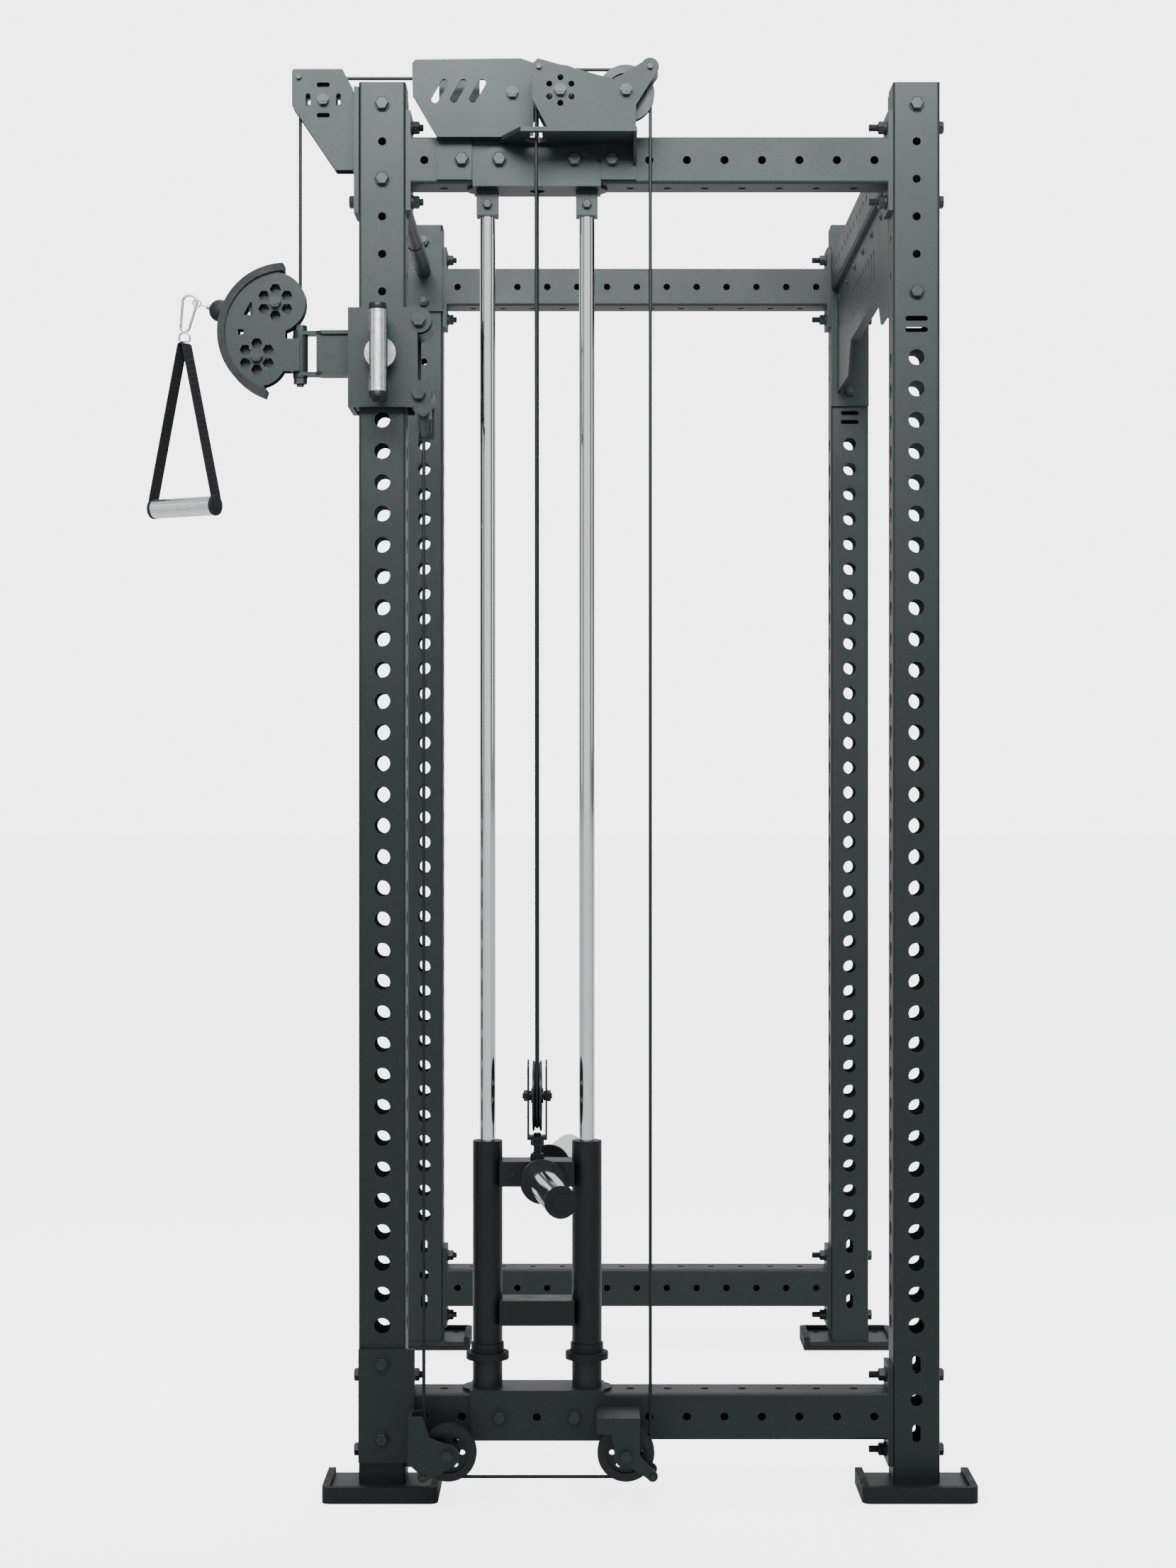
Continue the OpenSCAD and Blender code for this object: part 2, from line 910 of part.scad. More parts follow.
module low_mid_plate() {
    difference() {
        union() {
            polygon([
                [p5_x - 46, low_z + 18], [p5_x + 22, low_z + 18], [p5_x + 22, foot_z],
                [right_x + 9, low_z - 68], [right_x, low_z - 80], [p5_x + 8, foot_z - 18],
                [p5_x - 14, foot_z - 12], [p5_x - 23, low_z - 8], [p5_x - 46, low_z - 6]
            ]);
            translate([p5_x, foot_z])
                circle(r = 19);
            translate([right_x + 3, low_z - 73])
                circle(r = 8.5);
        }
        translate([p5_x, foot_z])
            circle(d = axle_d);
        translate([right_x + 3, low_z - 73])
            circle(d = 8);
    }
}

module low_bracket_mid() {
    y0 = cable_y - 27.5;
    back_x = stack_x + low_flange + gap;
    color(powder)
        difference() {
            union() {
                plate_xz(y0, plate)
                    low_mid_plate();
                plate_xz(cable_y + 22.5, plate)
                    low_mid_plate();
                translate([p5_x - 46, y0, low_z + 13])
                    cube([68, face_y - plate - gap - y0, plate]);
                translate([back_x, y0, low_z + 13])
                    cube([p5_x + 22 - back_x, face_y - y0, plate]);
                translate([back_x, face_y - plate, low_z - tube / 2])
                    cube([p5_x + 22 - back_x, plate, 70]);
            }
            translate([stack_x + 120, face_y, low_z])
                rod_y(hole, 30);
        }
}

module pulley_axles() {
    color(bolt_c) {
        axle(p1_x, cable_y, axle_z, 22.5, 22.5);
        axle(p2_x, cable_y, axle_z, 22.5, 22.5);
        axle(p5_x, cable_y, foot_z, 22.5, 22.5);
        axle(p6_x, cable_y, foot_z, 22.5, 22.5);
        axle(p4_x, col_y, back_z, bracket_gap / 2, bracket_gap / 2);
        axle(p3_x, col_y, back_z, 60, 30);
        for (p = [[stack_x + 5, top_z + 126], [right_x - 1, top_z + 126]])
            translate([p[0], cable_y, p[1]])
                rod_y(8, 67);
        for (p = [[left_x, low_z - 74], [right_x + 3, low_z - 73]])
            translate([p[0], cable_y, p[1]])
                rod_y(8, 67);
        translate([swivel_x - 1, col_y, top_z + 138])
            rod_y(8, bracket_gap + 2 * plate + 12);
    }
}

// ---- cable ----

function tangent(p, c, r, side) =
    let (v = p - c, d = norm(v)) atan2(v[1], v[0]) + side * acos(r / d);

function on_float(a) = [stack_x, col_y + float_p * cos(a), float_z + float_p * sin(a)];

module cable_fixed() {
    color(dark) {
        wrap(p4_x, col_y, back_z, pitch_r, 90, 90);
        cable_between([p4_x, col_y, back_z + pitch_r], [p3_x, col_y, back_z + pitch_r]);
        wrap(p3_x, col_y, back_z, pitch_r, 0, 90);
        wrap(p1_x, cable_y, axle_z, pitch_r, 90, 90);
        cable_between([p1_x, cable_y, axle_z + pitch_r], [p2_x, cable_y, axle_z + pitch_r]);
        wrap(p2_x, cable_y, axle_z, pitch_r, 0, 90);
        cable_between([right_x, cable_y, foot_z], [right_x, cable_y, axle_z]);
        wrap(p5_x, cable_y, foot_z, pitch_r, 270, 90);
        cable_between([p6_x, cable_y, foot_z - pitch_r], [p5_x, cable_y, foot_z - pitch_r]);
        wrap(p6_x, cable_y, foot_z, pitch_r, 180, 90);
    }
}

module strand_near() {
    color(dark)
        cable_between(on_float(near_t), [stack_x, cable_y, axle_z]);
}

module strand_far() {
    color(dark)
        cable_between(on_float(far_t), [stack_x, col_y, back_z]);
}

module strand_trolley() {
    color(dark)
        cable_between([left_x, cable_y, foot_z], [left_x, cable_y, pin_z - 136]);
}

module strand_swivel() {
    color(dark)
        cable_between([swivel_x, col_y, head_z], [swivel_x, col_y, back_z]);
}

module cable_float() {
    color(dark)
        translate([stack_x, col_y, float_z])
            rotate([90, 0, 90])
                rotate(near_t)
                    rotate_extrude(angle = 360 + far_t - near_t)
                        translate([float_p, 0])
                            circle(d = cable_d);
}

// ---- weight carriage ----

module float_pulley() {
    color(dark)
        translate([stack_x, col_y, float_z])
            rotate([0, 90, 0])
                pulley(float_r, axle_d + 2 * run_fit);
}

module carriage_sleeves() {
    color(dark)
        at_rods()
            translate([0, 0, stop_z + gap])
                difference() {
                    cylinder(d = sleeve_d, h = sleeve_l);
                    translate([0, 0, -1])
                        cylinder(d = sleeve_d - 6, h = sleeve_l + 2);
                }
}

module carriage_bushes() {
    color(dark)
        at_rods()
            for (z = [stop_z + gap, stop_z + gap + sleeve_l - 30])
                translate([0, 0, z])
                    difference() {
                        cylinder(d = sleeve_d - 6, h = 30);
                        translate([0, 0, -1])
                            cylinder(d = rod_d + 2 * slide_fit, h = 32);
                    }
}

module carriage_bars() {
    color(dark)
        difference() {
            for (z = [horn_z + 7, stop_z + 51])
                translate([stack_x, col_y, z])
                    cube([120, sleeve_d + 10, 40], center = true);
            at_rods()
                translate([0, 0, stop_z])
                    cylinder(d = sleeve_d, h = sleeve_l);
            translate([stack_x, col_y, horn_z + 12])
                cylinder(d = 12, h = 40);
        }
    color(bolt_c)
        for (s = [-1, 1])
            translate([stack_x + s * 41.5, col_y - sleeve_d / 2 - 5, horn_z + 7])
                rotate([90, 0, 0]) {
                    cylinder(d = 16, h = 1.5);
                    cylinder(d = 14, h = 6, $fn = 6);
                }
}

// Frame of a weight horn: local Z runs out along it
module horn_axis(s) {
    translate([stack_x, col_y, horn_z])
        rotate([0, 90, s * (90 - horn_a)])
            children();
}

module horn_discs() {
    color(dark)
        for (s = [-1, 1])
            difference() {
                horn_axis(s) {
                    r = horn_from[s < 0 ? 1 : 0];
                    cylinder(d = 36, h = r);
                    translate([0, 0, r - 6])
                        cylinder(d = 71, h = 6);
                }
                translate([stack_x, col_y, horn_z + 7])
                    cube([120, sleeve_d + 10, 40], center = true);
                translate([stack_x, col_y, horn_z])
                    cube([120, sleeve_d + 9, 60], center = true);
            }
}

module weight_horns() {
    color(steel)
        for (s = [-1, 1])
            horn_axis(s)
                translate([0, 0, horn_from[s < 0 ? 1 : 0]])
                    cylinder(d = horn_d, h = horn_l);
}

module horn_caps() {
    color(dark)
        for (s = [-1, 1])
            horn_axis(s)
                translate([0, 0, horn_from[s < 0 ? 1 : 0] + horn_l]) {
                    cylinder(d = horn_d, h = 3);
                    cylinder(d = 26, h = 5);
                }
}

module float_bracket() {
    half = pulley_w / 2 + 3;
    top = float_r - 1;
    color(powder)
        translate([stack_x, col_y, float_z])
            difference() {
                union() {
                    for (s = [-1, 1])
                        plate_yz(s * (half + 1.5) - 1.5, 3) {
                            translate([-15, -70])
                                square([30, 70 + top - 12]);
                            translate([0, top - 12])
                                circle(d = 30);
                        }
                    translate([-half - 3, -15, -70])
                        cube([2 * half + 6, 30, 6]);
                }
                rod_x(axle_d, 60);
                translate([0, 0, -75])
                    cylinder(d = 12, h = 20);
            }
    color(bolt_c)
        translate([stack_x, col_y, float_z]) {
            rod_x(axle_d, 2 * half + 22);
            for (s = [-1, 1]) {
                translate([s * (half + 6), 0, 0])
                    rotate([0, 90, 0])
                        cylinder(d = 18, h = 6, center = true, $fn = 6);
                translate([s * (half + pulley_w / 2 + gap) / 2, 0, 0])
                    rod_x(16, half - pulley_w / 2 - gap);
            }
            translate([0, 0, horn_z + 12 - float_z])
                cylinder(d = 12, h = float_z - horn_z - 12 - 60);
            translate([0, 0, horn_z + 27 - float_z])
                cylinder(d = 22, h = 10, $fn = 6);
            translate([0, 0, -80])
                cylinder(d = 22, h = 10, $fn = 6);
        }
}

// ---- trolley ----

module trolley_side() {
    x = -depth / 2;
    difference() {
        union() {
            polygon([
                [x - 16, pin_z - 82], [x - 16, pin_z + 77], [roll_x, pin_z + 77],
                [roll_x, pin_z + 37], [roll_x - 2, pin_z + 37], [roll_x - 2, pin_z - 41],
                [roll_x, pin_z - 41], [roll_x + 20, pin_z - 60], [roll_x + 20, pin_z - 122],
                [roll_x - 6, pin_z - 122], [roll_x - 6, pin_z - 82]
            ]);
            for (h = [57, -60])
                translate([roll_x, pin_z + h])
                    circle(r = 20);
        }
        translate([-ux, pin_z])
            circle(d = hole_d);
        for (h = [57, -60])
            translate([roll_x, pin_z + h])
                circle(d = 12);
    }
}

module arm_plate() {
    difference() {
        union() {
            translate([swivel_x, -12])
                square([arm_l, 24]);
            translate([swivel_x, 0])
                circle(d = 24);
            polygon([
                [swivel_x + 26, -12], [swivel_x + 36, -20], [-depth / 2 - 14, -20],
                [-depth / 2 - 14, 20], [swivel_x + 36, 20], [swivel_x + 26, 12]
            ]);
        }
        translate([swivel_x, 0])
            circle(d = swivel_d);
    }
}

module trolley_body() {
    x = -depth / 2;
    arm_z = pin_z - 20;
    color(powder)
        difference() {
            union() {
                for (s = [-1, 1])
                    plate_xz(col_y + s * 52 - trolley_t / 2, trolley_t)
                        trolley_side();
                translate([x - 16, col_y - 55, pin_z - 82])
                    cube([8, 110, 159]);
                for (z = [arm_z - trolley_t, arm_z + arm_h])
                    translate([0, col_y, z])
                        linear_extrude(trolley_t)
                            arm_plate();
                translate([swivel_x + 27, col_y - 15, arm_z])
                    cube([x - 14 - swivel_x - 27, 30, arm_h]);
            }
            translate([left_x, col_y - 52, pin_z - 98])
                rod_y(12, 20);
        }
}

module trolley_pads() {
    x = -depth / 2;
    color(dark)
        for (z = [pin_z - 78, pin_z + 43])
            translate([x - 8, col_y - 30, z])
                cube([8 - gap, 60, 30]);
}

module roller(h) {
    color(dark)
        translate([roll_x, col_y, pin_z + h])
            difference() {
                rod_y(2 * roll_r, 80);
                rod_y(12 + 2 * run_fit, 82);
            }
}

module trolley_bolts() {
    seat = cable_y - 10 - (col_y - 52 + trolley_t / 2);
    color(bolt_c) {
        for (h = [57, -60])
            translate([roll_x, col_y - 55, pin_z + h])
                rotate([90, 0, 0])
                    bolt(110, 12, 1);
        translate([left_x, cable_y - 10, pin_z - 98])
            rotate([90, 0, 0]) {
                cylinder(d = 16, h = 8);
                translate([0, 0, seat - 14])
                    cylinder(d = 12, h = 14 - seat);
                translate([0, 0, seat + trolley_t])
                    cylinder(d = 18, h = -18 - seat - trolley_t);
                translate([0, 0, seat - 11])
                    cylinder(d = 20, h = 11, $fn = 6);
            }
        translate([left_x, cable_y, pin_z - 98])
            difference() {
                union() {
                    rod_y(24, 14);
                    translate([0, 0, -38])
                        cylinder(d1 = 9, d2 = 20, h = 30);
                }
                rod_y(12, 20);
            }
        translate([swivel_x, col_y, pin_z - 20 + arm_h + trolley_t])
            bolt(arm_h + 2 * trolley_t, swivel_d, 1);
    }
}

// Drawn pulled out, just clear of the upright; it slides in by lock_in
module lock_pin() {
    tip = face_y - 1;
    seat = face_y - 11.5 - trolley_t - 0.5 - lock_in;
    color(steel)
        translate([-ux, 0, pin_z]) {
            translate([0, tip, 0])
                rotate([90, 0, 0])
                    cylinder(d = hole_d - 2 * slide_fit, h = tip - seat + 6);
            translate([0, seat, 0])
                rotate([90, 0, 0])
                    cylinder(d = 50, h = 6);
        }
}

module lock_grip() {
    y = col_y - 135;
    back = face_y - 11.5 - trolley_t - 0.5 - lock_in - 6;
    translate([-ux, 0, pin_z - 4]) {
        color(steel)
            translate([0, y, 0])
                cylinder(d = 26.5, h = 128, center = true);
        color(dark) {
            for (s = [-1, 1]) {
                translate([0, y, s * 69])
                    cylinder(d = 28, h = 10, center = true);
                translate([-9, y, s * 69 - 4])
                    cube([18, back - y, 8]);
            }
            translate([-12, back - 7, -74])
                cube([24, 7, 148]);
        }
    }
}

// ---- swivel head ----

module hex_ring() {
    for (a = [30 : 60 : 330])
        rotate(a)
            translate([21.3, 0])
                rotate(-a)
                    circle(d = 17.9, $fn = 6);
}

module head_outline() {
    difference() {
        union() {
            intersection() {
                translate([arc_x, arc_z])
                    circle(r = arc_r);
                polygon([
                    [up_x + 12, head_z + 80], [up_x, head_z], [up_x + 16, head_z - 44],
                    [up_x + 16, head_z - 60], [lo_x + 40, lo_z], [lo_x, lo_z],
                    [lo_x + 20, lo_z - 80], [lo_x - 120, lo_z - 80], [lo_x - 120, head_z + 80]
                ]);
            }
            translate([up_x, head_z])
                circle(r = 48);
            intersection() {
                translate([lo_x, lo_z])
                    circle(r = 48);
                translate([arc_x, arc_z])
                    circle(r = arc_r);
            }
            translate([lo_x, head_z - 110])
                square([swivel_x - lo_x, 52]);
        }
        translate([up_x, head_z])
            hex_ring();
        translate([lo_x, lo_z])
            hex_ring();
        translate([up_x, head_z])
            circle(d = axle_d);
        translate([lo_x, lo_z])
            circle(d = axle_d);
        polygon([
            [up_x - 52, head_z - 20], [up_x - 39, head_z + 2], [up_x - 35, head_z - 20]
        ]);
        translate([up_x - 60, head_z - 52])
            square([9, 9]);
    }
}

module head_plates() {
    z0 = head_z - 110;
    color(powder)
        difference() {
            union() {
                for (s = [-1, 1])
                    plate_xz(col_y + s * (bracket_gap / 2 + plate / 2) - plate / 2, plate)
                        head_outline();
                translate([swivel_x, col_y, pin_z - 20 + gap])
                    cylinder(d = 25, h = arm_h - 2 * gap);
                translate([swivel_x - 14, col_y - bracket_gap / 2, z0])
                    cube([14, bracket_gap, 52]);
            }
            translate([swivel_x, col_y, z0 - 10])
                cylinder(d = swivel_d + 2 * run_fit, h = 80);
        }
}

module head_guard() {
    color(dark)
        difference() {
            translate([arc_x, col_y, arc_z])
                rotate([90, 0, 0])
                    rotate(92)
                        rotate_extrude(angle = 160)
                            translate([arc_r, -22])
                                square([12, 44]);
            translate([lo_x, col_y, lo_z])
                rod_y(2 * (pulley_r + 2 * gap), bracket_gap);
            translate([ball_x, col_y, ball_z])
                sphere(r = ball_d / 2 + gap);
            translate([exit_x, col_y, exit_z])
                rotate([0, exit_a - 90, 0])
                    cylinder(d = 14, h = 130);
        }
}

module head_bolts() {
    color(bolt_c) {
        axle(up_x, col_y, head_z, bracket_gap / 2, bracket_gap / 2);
        axle(lo_x, col_y, lo_z, bracket_gap / 2, bracket_gap / 2);
    }
}

module cable_head() {
    color(dark)
        wrap(up_x, col_y, head_z, pitch_r, 270 - exit_a, 90 + exit_a);
}

// ---- handle ----

// Frame of the cord: local Z runs out along it
module on_cord(t) {
    translate([exit_x - t * cos(exit_a), col_y, exit_z + t * sin(exit_a)])
        rotate([0, exit_a - 90, 0])
            children();
}

module handle_cord() {
    color(dark) {
        on_cord(gap)
            cylinder(d = cable_d - 1, h = ball_t - gap);
        translate([ball_x, col_y, ball_z])
            sphere(d = ball_d);
    }
    color(steel) {
        on_cord(ball_t + ball_d / 2 - 2)
            cylinder(d = 9, h = 6);
        on_cord(ball_t)
            cylinder(d = 3, h = ring_t - ball_t - 5.5);
        on_cord(ring_t)
            rotate([0, 90, 0])
                rotate_extrude()
                    translate([6, 0])
                        circle(d = 3);
    }
}

module ring_arc(r, from, sweep, d) {
    rotate(from)
        rotate_extrude(angle = sweep)
            translate([r, 0])
                circle(d = d);
}

// Pear-shaped hook and strap ring, drawn in X-Z about the cord's eye
module carabiner() {
    a = [-11.5, 1.5];
    b = [-19, -38.5];
    v = b - a;
    turn = atan2(v[1], v[0]);
    lean = acos((11.5 - 7) / norm(v));
    color(steel)
        translate([eye_x, col_y, eye_z])
            rotate([90, 0, 0]) {
                translate(a)
                    ring_arc(11.5, turn + lean, 360 - 2 * lean, 4.5);
                translate(b)
                    ring_arc(7, turn - lean, 2 * lean, 4.5);
                for (s = [-1, 1]) {
                    n = [cos(turn + s * lean), sin(turn + s * lean)];
                    p = a + 11.5 * n;
                    q = b + 7 * n;
                    translate([(p[0] + q[0]) / 2, (p[1] + q[1]) / 2, 0])
                        rotate([0, 0, atan2(q[1] - p[1], q[0] - p[0])])
                            rod_x(4.2, norm(q - p) + 2);
                }
                translate([-20, -55.5, 0]) {
                    ring_arc(8.5, -8, 196, 3.5);
                    translate([0, -6, 0])
                        rod_x(4, 21);
                    for (s = [-1, 1])
                        translate([s * 8.5, -3.2, 0])
                            rod_y(3.2, 6);
                }
            }
}

module on_grip() {
    translate([grip_x, col_y, grip_z])
        rotate([0, 0, grip_turn])
            children();
}

module handle_strap() {
    e = grip_l / 2 - 2;
    color(dark)
        on_grip()
            plate_xz(-strap_w / 2, strap_w) {
                for (s = [-1, 1])
                    polygon([
                        [0, strap_h], [s * 7, strap_h], [s * (e + 2), 14],
                        [s * (e + 2), 3], [s * (e - 1.5), 3], [s * (e - 1.5), 14],
                        [0, strap_h - 16]
                    ]);
            }
}

module handle_grip() {
    color(steel)
        on_grip()
            difference() {
                rod_x(grip_d, grip_l - 12);
                rod_x(grip_d - 6, grip_l);
            }
}

module grip_ends() {
    color(dark)
        on_grip()
            difference() {
                for (s = [-1, 1]) {
                    translate([s * (grip_l / 2 - 3), 0, 0])
                        rod_x(grip_d + 2, 6);
                    translate([s * (grip_l / 2 - 12), 0, 0])
                        rod_x(grip_d - 6, 14);
                }
                rod_x(14, grip_l + 2);
                for (s = [-1, 1])
                    translate([s * (grip_l / 2 - 2), 0, 13])
                        cube([4.4, strap_w + 1, 20], center = true);
            }
}

// ---- nodes ----

translate(shift) {
    uprights_near();
    uprights_far();
    foot_plates();
    foot_bumpers();
    beams_top();
    beams_low();
    beam_bolts();
    pullup_bar();
    pullup_grips();
    rear_crossmember();
    rear_panel();
    cross_bolts();
    rod_bracket_top();
    rod_bracket_low();
    guide_rods();
    rubber_stops();
    column_bolts();
    pulley_housing();
    corner_pulley_bracket();
    low_bracket_front();
    low_bracket_mid();
    pulley_axles();
    cable_fixed();
    pulley_at(p1_x, cable_y, axle_z);  // pulley_1
    pulley_at(p2_x, cable_y, axle_z);  // pulley_2
    pulley_at(p3_x, col_y, back_z);  // pulley_3
    pulley_at(p4_x, col_y, back_z);  // pulley_4
    pulley_at(p5_x, cable_y, foot_z);  // pulley_5
    pulley_at(p6_x, cable_y, foot_z);  // pulley_6
    strand_near();
    strand_far();
    carriage_sleeves();
    carriage_bushes();
    carriage_bars();
    horn_discs();
    weight_horns();
    horn_caps();
    float_bracket();
    cable_float();
    float_pulley();
    trolley_body();
    trolley_pads();
    roller(57);  // roller_upper
    roller(-60);  // roller_lower
    trolley_bolts();
    strand_trolley();
    strand_swivel();
    lock_pin();
    lock_grip();
    head_plates();
    head_guard();
    head_bolts();
    cable_head();
    pulley_at(up_x, col_y, head_z);  // head_pulley_upper
    pulley_at(lo_x, col_y, lo_z);  // head_pulley_lower
    handle_cord();
    carabiner();
    handle_strap();
    handle_grip();
    grip_ends();
}
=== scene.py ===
import json
import math

import bmesh
import bpy
from mathutils import Matrix, Vector


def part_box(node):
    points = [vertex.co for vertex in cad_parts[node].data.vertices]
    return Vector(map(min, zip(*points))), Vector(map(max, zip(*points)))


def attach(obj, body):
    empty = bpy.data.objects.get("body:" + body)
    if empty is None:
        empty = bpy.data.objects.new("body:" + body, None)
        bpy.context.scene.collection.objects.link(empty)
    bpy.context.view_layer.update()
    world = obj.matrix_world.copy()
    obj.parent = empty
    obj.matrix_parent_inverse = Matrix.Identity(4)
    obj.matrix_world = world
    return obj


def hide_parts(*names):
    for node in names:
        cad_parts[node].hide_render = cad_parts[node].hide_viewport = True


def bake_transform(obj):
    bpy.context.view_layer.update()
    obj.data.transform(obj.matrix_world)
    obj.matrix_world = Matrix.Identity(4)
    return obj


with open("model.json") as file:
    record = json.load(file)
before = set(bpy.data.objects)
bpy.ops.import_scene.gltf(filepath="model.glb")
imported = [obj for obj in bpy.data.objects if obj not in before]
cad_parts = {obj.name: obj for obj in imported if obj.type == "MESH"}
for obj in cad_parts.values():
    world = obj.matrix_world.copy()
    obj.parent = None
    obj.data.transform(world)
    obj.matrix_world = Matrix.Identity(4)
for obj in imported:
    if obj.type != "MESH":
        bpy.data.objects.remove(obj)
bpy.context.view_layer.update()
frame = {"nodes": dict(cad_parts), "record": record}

NODES = frame["nodes"]
MM = 0.001

# The rack's own centre line on the floor, from the uprights
near_low, near_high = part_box("uprights_near")
far_low, far_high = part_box("uprights_far")
ORIGIN = Vector(((near_low[0] + near_high[0]) / 2, (near_low[1] + far_high[1]) / 2, 0.0))
HEIGHT = near_high[2] / MM
HALF_X = (near_high[0] - near_low[0]) / 2 / MM
HALF_Y = (far_high[1] - near_low[1]) / 2 / MM
TUBE = (near_high[1] - near_low[1]) / MM


def rack(x, y, z):
    """A point in millimetres from the rack's centre on the floor, as a row-frame Vector."""
    return ORIGIN + Vector((x, y, z)) * MM


# ---------------------------------------------------------------- camera, light, floor

CAMERA_LENS = 65.77
CAMERA_SENSOR = 36.0
CAMERA_REACH = 60.0
CAMERA_AT = rack(-98.2, -5204.5, 1137.0)

# Brightness of the surroundings: as a light, as a light from either side, and as the camera sees them
WORLD_LIGHT = 1.0
WORLD_SIDE = 0.12
WORLD_SEEN = 4.5
SIDE_FROM, SIDE_TO = 0.55, 0.95

FLOOR_GLOW = 3.4
FLOOR_HALF = 90.0
FLOOR_DROP = 0.0005


def add_camera():
    data = bpy.data.cameras.new("camera")
    data.lens = CAMERA_LENS
    data.sensor_width = CAMERA_SENSOR
    data.clip_end = CAMERA_REACH
    camera = bpy.data.objects.new("camera", data)
    camera.location = CAMERA_AT
    camera.rotation_euler = (math.radians(90.0), 0.0, 0.0)
    bpy.context.scene.collection.objects.link(camera)
    bpy.context.scene.camera = camera


def area_light(name, at, aim, size, power, spread=180.0):
    data = bpy.data.lights.new(name, "AREA")
    data.shape = "RECTANGLE"
    data.size, data.size_y = size
    data.energy = power
    data.spread = math.radians(spread)
    light = bpy.data.objects.new(name, data)
    light.location = rack(*at)
    way = rack(*aim) - light.location
    light.rotation_euler = way.to_track_quat("-Z", "Y").to_euler()
    bpy.context.scene.collection.objects.link(light)


def add_world():
    """White surroundings: bright behind the rack, dimmer as a light, dark to either side."""
    world = bpy.data.worlds.new("studio")
    world.use_nodes = True
    tree = world.node_tree
    background = tree.nodes["Background"]
    background.inputs["Color"].default_value = (1.0, 1.0, 1.0, 1.0)
    split = tree.nodes.new("ShaderNodeSeparateXYZ")
    tree.links.new(tree.nodes.new("ShaderNodeTexCoord").outputs["Generated"], split.inputs[0])
    aside = tree.nodes.new("ShaderNodeMath")
    aside.operation = "ABSOLUTE"
    tree.links.new(split.outputs["X"], aside.inputs[0])
    light = tree.nodes.new("ShaderNodeMapRange")
    light.interpolation_type = "SMOOTHSTEP"
    light.inputs["From Min"].default_value = SIDE_FROM
    light.inputs["From Max"].default_value = SIDE_TO
    light.inputs["To Min"].default_value = WORLD_LIGHT
    light.inputs["To Max"].default_value = WORLD_SIDE
    tree.links.new(aside.outputs["Value"], light.inputs["Value"])
    strength = tree.nodes.new("ShaderNodeMapRange")
    strength.inputs["To Max"].default_value = WORLD_SEEN
    tree.links.new(light.outputs["Result"], strength.inputs["To Min"])
    path = tree.nodes.new("ShaderNodeLightPath")
    tree.links.new(path.outputs["Is Camera Ray"], strength.inputs["Value"])
    tree.links.new(strength.outputs["Result"], background.inputs["Strength"])
    bpy.context.scene.world = world


def add_lights():
    area_light("key", (-200, -2900, 3300), (0, -500, 2300), (2.4, 1.0), 60.0, 80.0)
    area_light("top", (0, 300, 3900), (0, 0, 1900), (2.4, 2.4), 30.0, 110.0)
    area_light("left", (-3600, -1200, 2300), (-300, -400, 1500), (0.9, 2.4), 12.0)
    area_light("right", (3600, -1000, 2400), (300, -300, 1600), (0.9, 2.4), 12.0)
    add_world()


def add_floor(material):
    mesh = bpy.data.meshes.new("floor")
    corners = [(x * FLOOR_HALF, y * FLOOR_HALF, 0) for x, y in ((-1, -1), (1, -1), (1, 1), (-1, 1))]
    mesh.from_pydata(corners, [], [(0, 1, 2, 3)])
    floor = bpy.data.objects.new("floor", mesh)
    floor.location = (0, 0, -FLOOR_DROP)
    floor.data.materials.append(material)
    bpy.context.scene.collection.objects.link(floor)


# ---------------------------------------------------------------- materials

SPECULAR = 0.3
SPECULAR_TINT = (0.88, 1.0, 1.0, 1.0)
SMOOTH_ANGLE = math.radians(32)


def start_material(name, colour, rough, metal=0.0):
    material = bpy.data.materials.new(name)
    material.use_nodes = True
    tree = material.node_tree
    shader = tree.nodes["Principled BSDF"]
    shader.inputs["Base Color"].default_value = (*colour, 1.0)
    shader.inputs["Roughness"].default_value = rough
    shader.inputs["Metallic"].default_value = metal
    if not metal:
        shader.inputs["Specular IOR Level"].default_value = SPECULAR
        shader.inputs["Specular Tint"].default_value = SPECULAR_TINT
    material.diffuse_color = (*colour, 1.0)
    return material, tree, shader


def object_coords(tree):
    return tree.nodes.new("ShaderNodeTexCoord").outputs["Object"]


def noise(tree, vector, scale, detail=4.0, rough=0.55):
    node = tree.nodes.new("ShaderNodeTexNoise")
    node.inputs["Scale"].default_value = scale
    node.inputs["Detail"].default_value = detail
    node.inputs["Roughness"].default_value = rough
    tree.links.new(vector, node.inputs["Vector"])
    return node.outputs["Fac"]


def ramp(tree, factor, stops):
    """Two (place, colour) stops."""
    node = tree.nodes.new("ShaderNodeValToRGB")
    for element, (place, colour) in zip(node.color_ramp.elements, stops):
        element.position = place
        element.color = (*colour, 1.0)
    tree.links.new(factor, node.inputs["Fac"])
    return node.outputs["Color"]


def to_range(tree, factor, low, high):
    node = tree.nodes.new("ShaderNodeMapRange")
    node.inputs["From Min"].default_value = 0.3
    node.inputs["From Max"].default_value = 0.7
    node.inputs["To Min"].default_value = low
    node.inputs["To Max"].default_value = high
    tree.links.new(factor, node.inputs["Value"])
    return node.outputs["Result"]


def bump(tree, shader, height, strength, distance):
    node = tree.nodes.new("ShaderNodeBump")
    node.inputs["Strength"].default_value = strength
    node.inputs["Distance"].default_value = distance
    tree.links.new(height, node.inputs["Height"])
    tree.links.new(node.outputs["Normal"], shader.inputs["Normal"])


def scaled(colour, k):
    return tuple(min(1.0, c * k) for c in colour)


